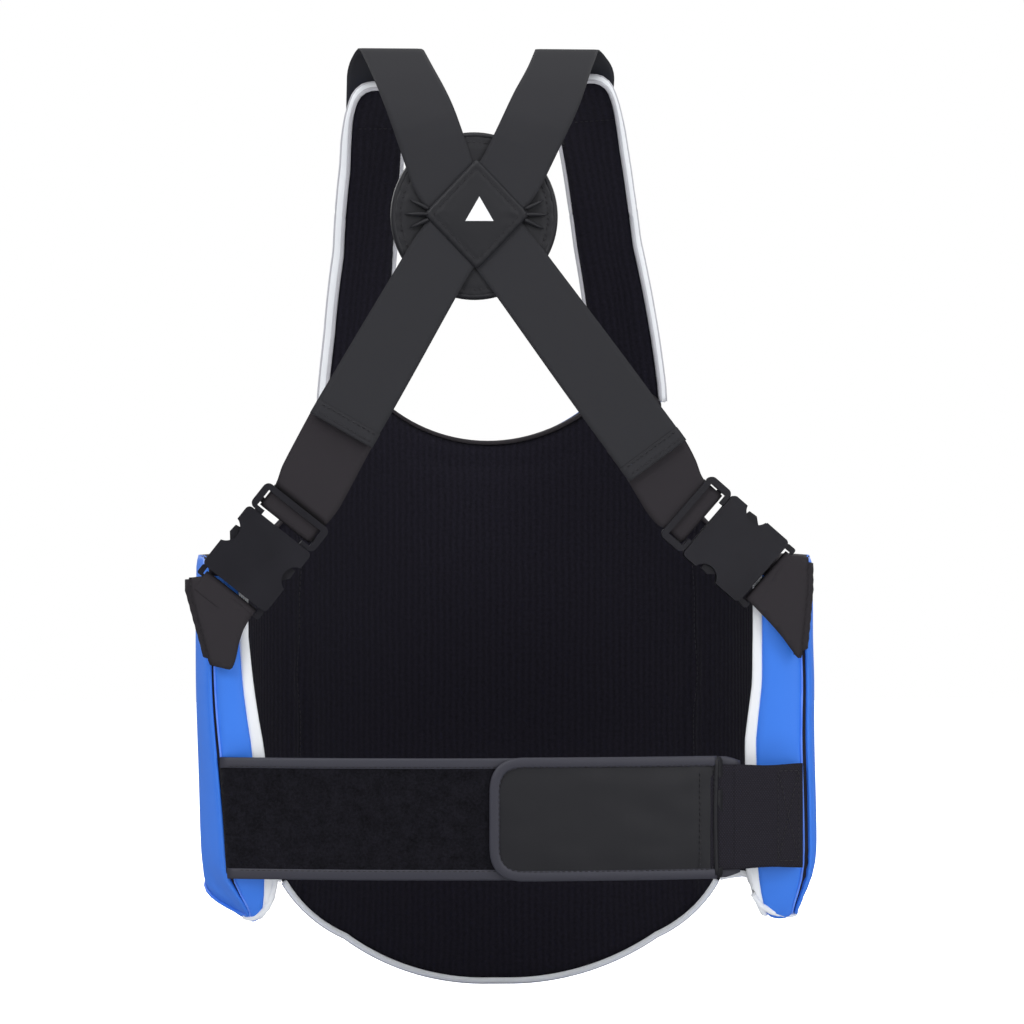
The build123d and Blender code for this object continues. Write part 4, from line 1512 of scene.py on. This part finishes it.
class PROTECTOR_OT_patch(ProtectorPart):
    """Sew the diamond patch over the crossing"""

    bl_idname = "protector.patch"
    bl_label = "Diamond patch"

    def build(self, context):
        x0, z0 = PATCH_MIDDLE

        def diamond(wide, half, corner):
            tips = [(x0 + wide, z0), (x0, z0 + half), (x0 - wide, z0), (x0, z0 - half)]
            return rounded(tips, corner, step=2.6)

        loop = diamond(PATCH_WIDE, PATCH_HALF, 3.5)

        def face(x, z, gap):
            level = 99.8 + 1.2 * sqrt(max(0.0, 1 - (1 - min(gap / 3.2, 1)) ** 2))
            level -= 0.9 * hump(gap, 5.2, 1.9)
            level += 0.6 * ease(gap, 8, 22)
            corner = ease(abs(x - x0), 16, 36)
            folds = noise.noise(Vector((x * 0.09, z * 0.2, 2.0))) + 0.6 * sin((z - z0) * 0.55)
            level += corner * 0.55 * folds * ease(gap, 5, 9)
            middle = ease(hypot(x - x0, z - z0), 22, 13)
            return blend_between(min(level, 101.9), 101.5, middle)

        patch = panel("diamond_patch_leather", loop, 2.4, upright, face, lambda x, z, gap: 99.45)
        dress(patch, "black_leather", slot="black_leather", hides=("back_diamond_patch",))
        inner = diamond(PATCH_WIDE - PATCH_STITCH_INSET, PATCH_HALF - PATCH_STITCH_INSET, 3)
        places = [upright(x, z, 100.25) for x, z in inner + inner[:1]]
        runs = [(places, [Vector((0, 1, 0))] * len(places))]
        thread = stitches("diamond_patch_stitches", runs, length=2.8, radius=0.36)
        dress(thread, "black_thread", slot="black_leather")
        self.tucks()
        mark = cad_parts["size_mark"]
        mark.data.materials.clear()
        mark.data.materials.append(bpy.data.materials["white_print"])

    def tucks(self):
        """Small folds of leather pulled tight where the straps bunch at the side corners."""
        x0, z0 = PATCH_MIDDLE
        for side, name in SIDES:
            for n, (lift, reach) in enumerate(((6, 9), (0, 13), (-6, 9))):
                tip = (x0 + side * (PATCH_HALF + reach), z0 + lift * 1.9)
                root = (x0 + side * (PATCH_HALF - 6), z0 + lift * 0.7)
                spots = []
                for t in (0, 0.25, 0.5, 0.75, 1.0):
                    x, z = [blend_between(a, b, t) for a, b in zip(root, tip)]
                    spots.append(upright(x, z, 99.4 - 1.4 * t))
                rings = ring_around(spots, 1.9 * MM, sides=10, flatten=0.8)
                for ring, spot, t in zip(rings, spots, (0.9, 1.1, 1.0, 0.75, 0.25)):
                    ring[:] = [spot + (p - spot) * t for p in ring]
                roll = swept(f"{name}_patch_tuck_{n + 1}", rings)
                dress(roll, "black_leather", slot="black_leather")


# ------------------------------------------------------------------ buckles and webbing

BUCKLE_LEVEL = 90.3
# Each buckle's middle and its tilt from upright.
BUCKLES = {
    LEFT: ((199.0, BUCKLE_LEVEL, 213.0), radians(38.4)),
    RIGHT: ((-173.6, BUCKLE_LEVEL, 220.0), radians(-49.0)),
}
WEBBING_HALF = 25.0
WEBBING = 1.4
UPPER_RUNS = {
    LEFT: ((136.5, 310.0), (121.5, 336.0)),
    RIGHT: ((-115.5, 286.0), (-99.0, 309.0)),
}
LOOP_CORNERS = {
    LEFT: ((258, 193), (261, 181), (257, 164), (243, 118)),
    RIGHT: ((-239, 203), (-242, 188), (-241, 171), (-236, 126)),
}
LOOP_REACH = {LEFT: 261.0, RIGHT: 243.0}
LOOP_TAPER = {LEFT: 17.0, RIGHT: 6.0}


def buckle_axes(side):
    """A buckle's middle, its length towards the harness, its width and its outward direction."""
    origin, tilt = BUCKLES[side]
    return (Vector(origin), Vector((-sin(tilt), 0, cos(tilt))), Vector((cos(tilt), 0, sin(tilt))),
            Vector((0, 1, 0)))


class PROTECTOR_OT_buckles(ProtectorPart):
    """Finish the moulded buckles"""

    bl_idname = "protector.buckles"
    bl_label = "Buckles"

    def build(self, context):
        for _, name in SIDES:
            for part in ("female", "male", "prong_upper", "prong_lower"):
                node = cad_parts[f"{name}_buckle_{part}"]
                node.data.materials.clear()
                node.data.materials.append(bpy.data.materials["moulded_black_plastic"])
                bevel = node.modifiers.new("softened_edges", "BEVEL")
                bevel.width = 0.0008 if part in ("female", "male") else 0.0005
                bevel.segments = 3
                bevel.limit_method = "ANGLE"
                bevel.angle_limit = radians(35)
                bevel.harden_normals = False


class PROTECTOR_OT_webbing(ProtectorPart):
    """Thread the webbing through the buckles and round the rims"""

    bl_idname = "protector.webbing"
    bl_label = "Webbing"

    def build(self, context):
        for side, name in SIDES:
            self.adjuster(side, name)
            self.lower_loop(side, name)

    def adjuster(self, side, name):
        """Webbing that folds round the male half's middle bar, both layers under the harness hem."""
        origin, length, width, out = buckle_axes(side)
        (near_x, near_z), (far_x, far_z) = UPPER_RUNS[side]
        spots = []
        for x, z, w in ((far_x, far_z, 2.1), (near_x, near_z, 2.1)):
            spots.append(Vector((x, BUCKLE_LEVEL + w, z)))
        turns = ((52, 1.6), (47, 1.1), (40, 1.1), (34, 1.15), (31, 1.1), (28.9, 0.5), (28.1, -1.0),
                 (28.9, -2.5), (31, -3.1), (34, -3.1), (40, -3.1), (47, -2.9), (54, -1.0))
        spots += [origin + length * u + out * w for u, w in turns]
        for x, z, w in ((near_x, near_z, 0.3), (far_x, far_z, 0.3)):
            spots.append(Vector((x, BUCKLE_LEVEL + w, z)))
        path = smooth_curve(spots, 2.5)
        rows = []
        strap = (Vector((far_x, 0, far_z)) - Vector((near_x, 0, near_z))).normalized()
        strap_width = Vector((strap.z, 0, -strap.x))
        strap_width = strap_width if strap_width.dot(width) > 0 else -strap_width
        for here in path:
            u = (here - origin).dot(length)
            across = width.lerp(strap_width, ease(u, 50, 90)).normalized()
            half = WEBBING_HALF + 3.2 * ease(u, 40, 66)
            rows.append((here - across * half, here + across * half))
        piece = ribbon(f"{name}_adjuster_strap", rows, WEBBING, columns=12)
        dress(piece, "black_webbing", f"{name}_male", "black_webbing", (f"{name}_adjuster_webbing",))

    def lower_loop(self, side, name):
        """Webbing that holds the female half: round its rear bar, then folded over the rim."""
        origin, length, width, out = buckle_axes(side)
        turns = ((-58, 3.45), (-50, 3.5), (-46, 3.5), (-43.4, 3.35), (-41.4, 2.4), (-40.5, 0.0),
                 (-41.4, -2.4), (-43.4, -3.35), (-46, -3.5), (-50, -3.2), (-58, -2.2))
        path = smooth_curve([origin + length * u + out * w for u, w in turns], 1.5)
        rows = [(p - width * WEBBING_HALF, p + width * WEBBING_HALF) for p in path]
        fold = ribbon(f"{name}_buckle_tail_fold", rows, WEBBING, columns=12)
        dress(fold, "black_webbing", slot="black_webbing")
        reach = LOOP_REACH[side]
        turn_points = [(0, 93.8), (reach - 24, 93.8), (reach - 12, 93.2), (reach - 4, 91.6),
                       (reach, 88.6), (reach - 2.5, 85.0), (reach - 10, 83.4), (reach - 20, 82.6)]
        curl = smooth_curve(turn_points, 1.5)
        runs = [0.0]
        for a, b in zip(curl, curl[1:]):
            runs.append(runs[-1] + (b - a).length)
        xs, ys = [p.x for p in curl], [p.y for p in curl]

        def place(along, z, lift):
            x, y = float(np.interp(along, runs, xs)), float(np.interp(along, runs, ys))
            after = float(np.interp(along + 1, runs, xs)), float(np.interp(along + 1, runs, ys))
            out_x, out_y = -(after[1] - y), after[0] - x
            size = max(hypot(out_x, out_y), 1e-6)
            shift_in = LOOP_TAPER[side] * min(max((182 - z) / 62, 0), 1.1) * ease(along, 205, 240)
            return Vector((side * (x + out_x / size * lift - shift_in), y + out_y / size * lift, z)) * MM

        corners = []
        for v in (-WEBBING_HALF, WEBBING_HALF):
            spot = origin + length * -45.0 + width * v
            corners.append((side * spot.x, spot.z))
        corners.sort()
        outer = [(side * x, z) for x, z in LOOP_CORNERS[side]]
        far_run = runs[-1] - 2
        loop = [corners[0], (outer[3][0] - 1.0, outer[3][1]), (far_run, outer[2][1] - 30),
                (far_run, outer[0][1] - 4), (corners[1][0] + 6, corners[1][1] - 1), corners[1]]
        loop = rounded(loop, [1, 2, 6, 8, 4, 1], step=3.0)

        def level(a, z, gap, half):
            wave = 0.5 * noise.noise(Vector((a, z, 9)) * 0.04)
            return half * (0.6 + 0.4 * ease(gap, 0, 2)) + wave

        face = panel(
            f"{name}_rim_wrap_webbing", loop, 4.5, place,
            lambda a, z, gap: level(a, z, gap, WEBBING / 2),
            lambda a, z, gap: level(a, z, gap, -WEBBING / 2))
        dress(face, "black_webbing", slot="black_webbing", hides=(f"{name}_lower_webbing_loop",))


# ------------------------------------------------------------------ waist belt

BELT_RADIUS = 830.0
ELASTIC_HALF = 42
# Where along the belt the elastic is sewn down, where it passes under the tab, and where it ends.
ELASTIC_START, ELASTIC_LAP, ELASTIC_END = -236.5, -177.2, -158
BOX_STITCH = ((-233, -36), (-215, -36), (-215, 36), (-233, 36))
TAB_SEAM = -163
TAB_STITCH_COLUMN = -149


def on_belt(along, z, radius):
    """A place on the belt: along its arc from the back's middle, in metres."""
    turn = along / BELT_RADIUS
    return Vector((radius * sin(turn), BELT_CENTRE_Y + radius * cos(turn), z)) * MM


def off_belt(line, radius):
    """Places along a line on the belt, each with the direction out of it."""
    places = [on_belt(a, z, radius) for a, z in line]
    return places, [on_belt(a, z, BELT_RADIUS + 10) - on_belt(a, z, BELT_RADIUS) for a, z in line]


def elastic_edges(a, radius):
    """The lower and upper edge of the belt's elastic, which is drawn in a little at its middle."""
    half = ELASTIC_HALF - 1.2 * hump(a, -207, 30)
    return tuple(on_belt(a, sign * half, radius) / MM for sign in (-1, 1))


def belt_rings(loop, radius, reach, thick, step=12):
    """Rings of a folded binding along a loop on the belt."""
    rings = []
    for i, p in enumerate(loop):
        ahead = Vector(loop[(i + 1) % len(loop)]) - Vector(loop[i - 1])
        inward = Vector((-ahead.y, ahead.x)).normalized()
        section = []
        for k in range(step):
            turn = tau * k / step
            wide = reach / 2
            spot = Vector(p) + inward * (wide - wide * cos(turn) * 1.05)
            section.append(on_belt(spot.x, spot.y, radius + thick / 2 * sin(turn)))
        rings.append(section)
    return rings


class PROTECTOR_OT_belt(ProtectorPart):
    """Lay the waist belt across the back"""

    bl_idname = "protector.belt"
    bl_label = "Waist belt"

    def build(self, context):
        self.loop_panel()
        self.elastic()
        self.tab()

    def loop_panel(self):
        """The long fuzzy panel, bound above and below."""
        loop = rounded([(-186, -47), (231, -47), (237, 47), (-186, 47)], [14, 3, 3, 14], step=4.0)

        def fuzz(a, z, gap):
            return 831.2 + 0.22 * noise.noise(Vector((a * 0.5, z * 0.5, 0))) - 0.9 * (1 - ease(gap, 0, 4))

        face = panel("belt_loop_fabric", loop, 3.6, on_belt, fuzz, lambda a, z, gap: 829.1)
        dress(face, "fuzzy_loop_fabric", "loop_end", "loop_fabric", ("waist_loop_panel",))
        for name, sign, end in (("upper", 1, 238), ("lower", -1, 233)):
            line = [(a, sign * 48.3) for a in np.arange(-184, end, 6.0)]
            rings = [self.binding_ring(a, z, sign) for a, z in line]
            piece = swept(f"belt_{name}_binding", rings)
            hides = (f"waist_loop_{name}_binding",)
            dress(piece, "dark_binding", "loop_end", "dark_binding", hides)
            row = [on_belt(a, z - sign * 7.0, 831.7) for a, z in line[:-1]]
            outs = off_belt(line[:-1], BELT_RADIUS)[1]
            dress(
                stitches(f"belt_{name}_binding_stitches", [(row, outs)], radius=0.33),
                "black_thread", "loop_end", "dark_binding")

    def binding_ring(self, a, z, sign):
        """A flattened ring of folded binding, with a sewn-down groove on its outer face."""
        ring = []
        drop = 4.0 * ease(-a, 172, 186)
        for k in range(14):
            turn = tau * k / 14
            groove = 0.35 * hump(cos(turn), 0.1, 0.35) * (1 if sin(turn) > 0 else 0)
            radius = BELT_RADIUS + 0.3
            if sin(turn):
                radius += (1.75 - groove) * sin(turn) * abs(sin(turn)) ** -0.35
            ring.append(on_belt(a, z - sign * (4.2 + drop - 4.4 * cos(turn)), radius))
        return ring

    def elastic(self):
        """The ribbed elastic that carries the tab, box-stitched at its root."""
        rows = [elastic_edges(a, 833.8) for a in np.linspace(ELASTIC_START, ELASTIC_LAP, 31)]
        band_piece = ribbon("belt_elastic_band", rows, 1.5, columns=28)
        dress(band_piece, "belt_elastic", "elastic_end", "black_elastic", ("waist_elastic",))
        foot, toe, top, heel = BOX_STITCH
        lines = ((foot, toe), (toe, top), (top, heel), (heel, foot), (foot, top), (heel, toe))
        boxes = [off_belt(line_points(start, end, 4) + [end], 834.65) for start, end in lines]
        dress(
            stitches("belt_elastic_box_stitches", boxes, radius=0.36), "black_thread", "elastic_end",
            "black_elastic")

    def tab(self):
        """The leather tab with its bound edge, hook tape underneath and a seam near the elastic."""
        loop = rounded([(-168, -49), (20, -49), (20, 49), (-168, 49)], [4, 27, 27, 4], step=3.6)

        def face(a, z, gap):
            level = 834.5 + 0.7 * ease(gap, 6, 22) - 0.5 * hump(a, TAB_STITCH_COLUMN, 3)
            level += 0.5 * noise.noise(Vector((a * 0.03, z * 0.05, 4.0)))
            return level + 0.25 * noise.noise(Vector((a * 0.1, z * 0.02, 6.0)))

        leather = panel("belt_tab_leather", loop, 4.0, on_belt, face, lambda a, z, gap: 833.3)
        dress(leather, "black_leather", "tab", "black_leather", ("waist_tab_leather",))
        rings = zip(loop, belt_rings(loop, 834.6, 8.0, 2.9))
        bound = [ring for (a, z), ring in rings if a > TAB_SEAM or abs(z) > 48.5]
        dress(
            swept("belt_tab_edge_binding", bound), "dark_binding", "tab", "dark_binding",
            ("waist_tab_binding",))
        corners = [(-160.5, -41.5), (12.5, -41.5), (12.5, 41.5), (-160.5, 41.5)]
        inner = rounded(corners, [3, 20, 20, 3], step=4.0)
        column = [(TAB_STITCH_COLUMN, z) for z in np.arange(-40, 41, 5.0)]
        runs = [off_belt(spots, 835.4) for spots in (inner + inner[:1], column)]
        dress(stitches("belt_tab_stitches", runs, radius=0.33), "black_thread", "tab", "black_leather")
        ridge = [
            on_belt(TAB_SEAM + 1.2 * hump(z, 0, 60), z, 834.9) for z in np.arange(-46, 47, 4.0)]
        dress(piping("belt_tab_seam_roll", ridge, 1.9 * MM), "black_leather", "tab", "dark_binding")
        under_elastic = np.linspace(ELASTIC_LAP - 0.6, ELASTIC_END, 11)
        root_rows = [elastic_edges(a, 833.85) for a in under_elastic]
        root = ribbon("belt_tab_elastic_root", root_rows, 1.5, columns=28)
        dress(root, "belt_elastic", "tab", "black_elastic")
        hooks = rounded([(-158, -39), (10, -39), (10, 39), (-158, 39)], [3, 18, 18, 3], step=4.0)
        tape = panel(
            "belt_hook_tape", hooks, 4.0, on_belt, lambda a, z, gap: 833.2,
            lambda a, z, gap: 832.0 + 0.12 * noise.noise(Vector((a, z, 0))))
        dress(tape, "hook_tape", "tab", "hook_tape", ("waist_hook_patch",))


# ------------------------------------------------------------------ stage

CAMERA_PLACE = (0.2443, 3.5817, 0.2440)
CAMERA_YAW = radians(4.0)


def soft_light(name, place, target, size, energy):
    lamp = bpy.data.lights.new(name, "AREA")
    lamp.shape = "RECTANGLE"
    lamp.size, lamp.size_y = size
    lamp.energy = energy
    thing = bpy.data.objects.new(name, lamp)
    thing.location = place
    thing.rotation_euler = (Vector(target) - Vector(place)).to_track_quat("-Z", "Y").to_euler()
    bpy.context.scene.collection.objects.link(thing)


class PROTECTOR_OT_stage(ProtectorPart):
    """Set the pale floor, the soft lights and the camera"""

    bl_idname = "protector.stage"
    bl_label = "Stage"

    def build(self, context):
        scene = context.scene
        scene.view_settings.view_transform = "Standard"
        half, level = 6.0, CAD_BOX[0][2] - 0.012
        signs = ((-1, -1), (1, -1), (1, 1), (-1, 1))
        corners = [(x * half, y * half, level) for x, y in signs]
        floor = make_object("pale_floor", corners, [(0, 1, 2, 3)], smooth=False)
        floor.data.materials.append(bpy.data.materials["pale_paper"])
        floor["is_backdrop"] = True
        world = bpy.data.worlds.new("white_studio")
        world.use_nodes = True
        w = Wiring(world.node_tree)
        seen = w.nodes["Background"]
        seen.inputs["Color"].default_value = (1.0, 1.0, 1.0, 1.0)
        path = w.add("ShaderNodeLightPath").outputs
        strength = w.maths("MULTIPLY_ADD", path["Is Glossy Ray"], -0.32, 0.40)
        glow = w.add("ShaderNodeBackground", {"Color": (0.92, 0.94, 1.0, 1.0), "Strength": strength})
        direct = path["Is Camera Ray"]
        either = w.add("ShaderNodeMixShader", {0: direct, 1: glow.outputs[0], 2: seen.outputs[0]})
        w.feed(w.nodes["World Output"].inputs["Surface"], either.outputs[0])
        scene.world = world
        middle = (0, 0, 0.25)
        soft_light("key_light", (1.7, 2.3, 1.9), middle, (1.2, 1.6), 33)
        soft_light("fill_light", (-2.0, 2.0, 1.2), middle, (1.2, 1.6), 24)
        soft_light("back_sheen_light", (-0.75, 3.4, 0.75), middle, (0.9, 0.5), 3.6)
        soft_light("top_light", (0, 0.4, 2.6), middle, (1.6, 1.6), 20)
        soft_light("front_left_light", (1.8, -2.2, 1.6), middle, (1.2, 1.6), 34)
        soft_light("front_right_light", (-1.8, -2.2, 1.6), middle, (1.2, 1.6), 34)
        lens = bpy.data.cameras.new("back_camera")
        lens.lens, lens.sensor_width = 153.8, 36.0
        lens.clip_end = 40.0
        camera = bpy.data.objects.new("back_camera", lens)
        camera.location = CAMERA_PLACE
        look = Vector((-sin(CAMERA_YAW), -cos(CAMERA_YAW), 0))
        camera.rotation_euler = look.to_track_quat("-Z", "Y").to_euler()
        scene.collection.objects.link(camera)
        scene.camera = camera


class PROTECTOR_PT_sidebar(bpy.types.Panel):
    """Every group of pieces, with its sizes and colours"""

    bl_idname = "PROTECTOR_PT_sidebar"
    bl_label = "Padded body protector"
    bl_space_type = "VIEW_3D"
    bl_region_type = "UI"
    bl_category = "Protector"

    def draw(self, context):
        layout = self.layout
        for group in (context.scene.protector_sizes, context.scene.protector_colours):
            for name in group.__annotations__:
                layout.prop(group, name)
        for operator in STEPS:
            layout.operator(operator.bl_idname)


STEPS = (
    PROTECTOR_OT_finishes,
    PROTECTOR_OT_stage,
    PROTECTOR_OT_lining,
    PROTECTOR_OT_covers,
    PROTECTOR_OT_front_pads,
    PROTECTOR_OT_edges,
    PROTECTOR_OT_shoulders,
    PROTECTOR_OT_harness,
    PROTECTOR_OT_disc,
    PROTECTOR_OT_patch,
    PROTECTOR_OT_buckles,
    PROTECTOR_OT_webbing,
    PROTECTOR_OT_belt,
)
CLASSES = (ProtectorSizes, ProtectorColours, *STEPS, PROTECTOR_PT_sidebar)


def register():
    for kind in CLASSES:
        bpy.utils.register_class(kind)
    bpy.types.Scene.protector_sizes = bpy.props.PointerProperty(type=ProtectorSizes)
    bpy.types.Scene.protector_colours = bpy.props.PointerProperty(type=ProtectorColours)


def unregister():
    del bpy.types.Scene.protector_colours
    del bpy.types.Scene.protector_sizes
    for kind in reversed(CLASSES):
        bpy.utils.unregister_class(kind)


def main():
    register()
    for step in STEPS:
        group, name = step.bl_idname.split(".")
        getattr(getattr(bpy.ops, group), name)()
    boxes = {"cad": CAD_BOX, "visual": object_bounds()}
    {key: [list(corner) for corner in value] for key, value in boxes.items()}


if __name__ == "__main__":
    main()
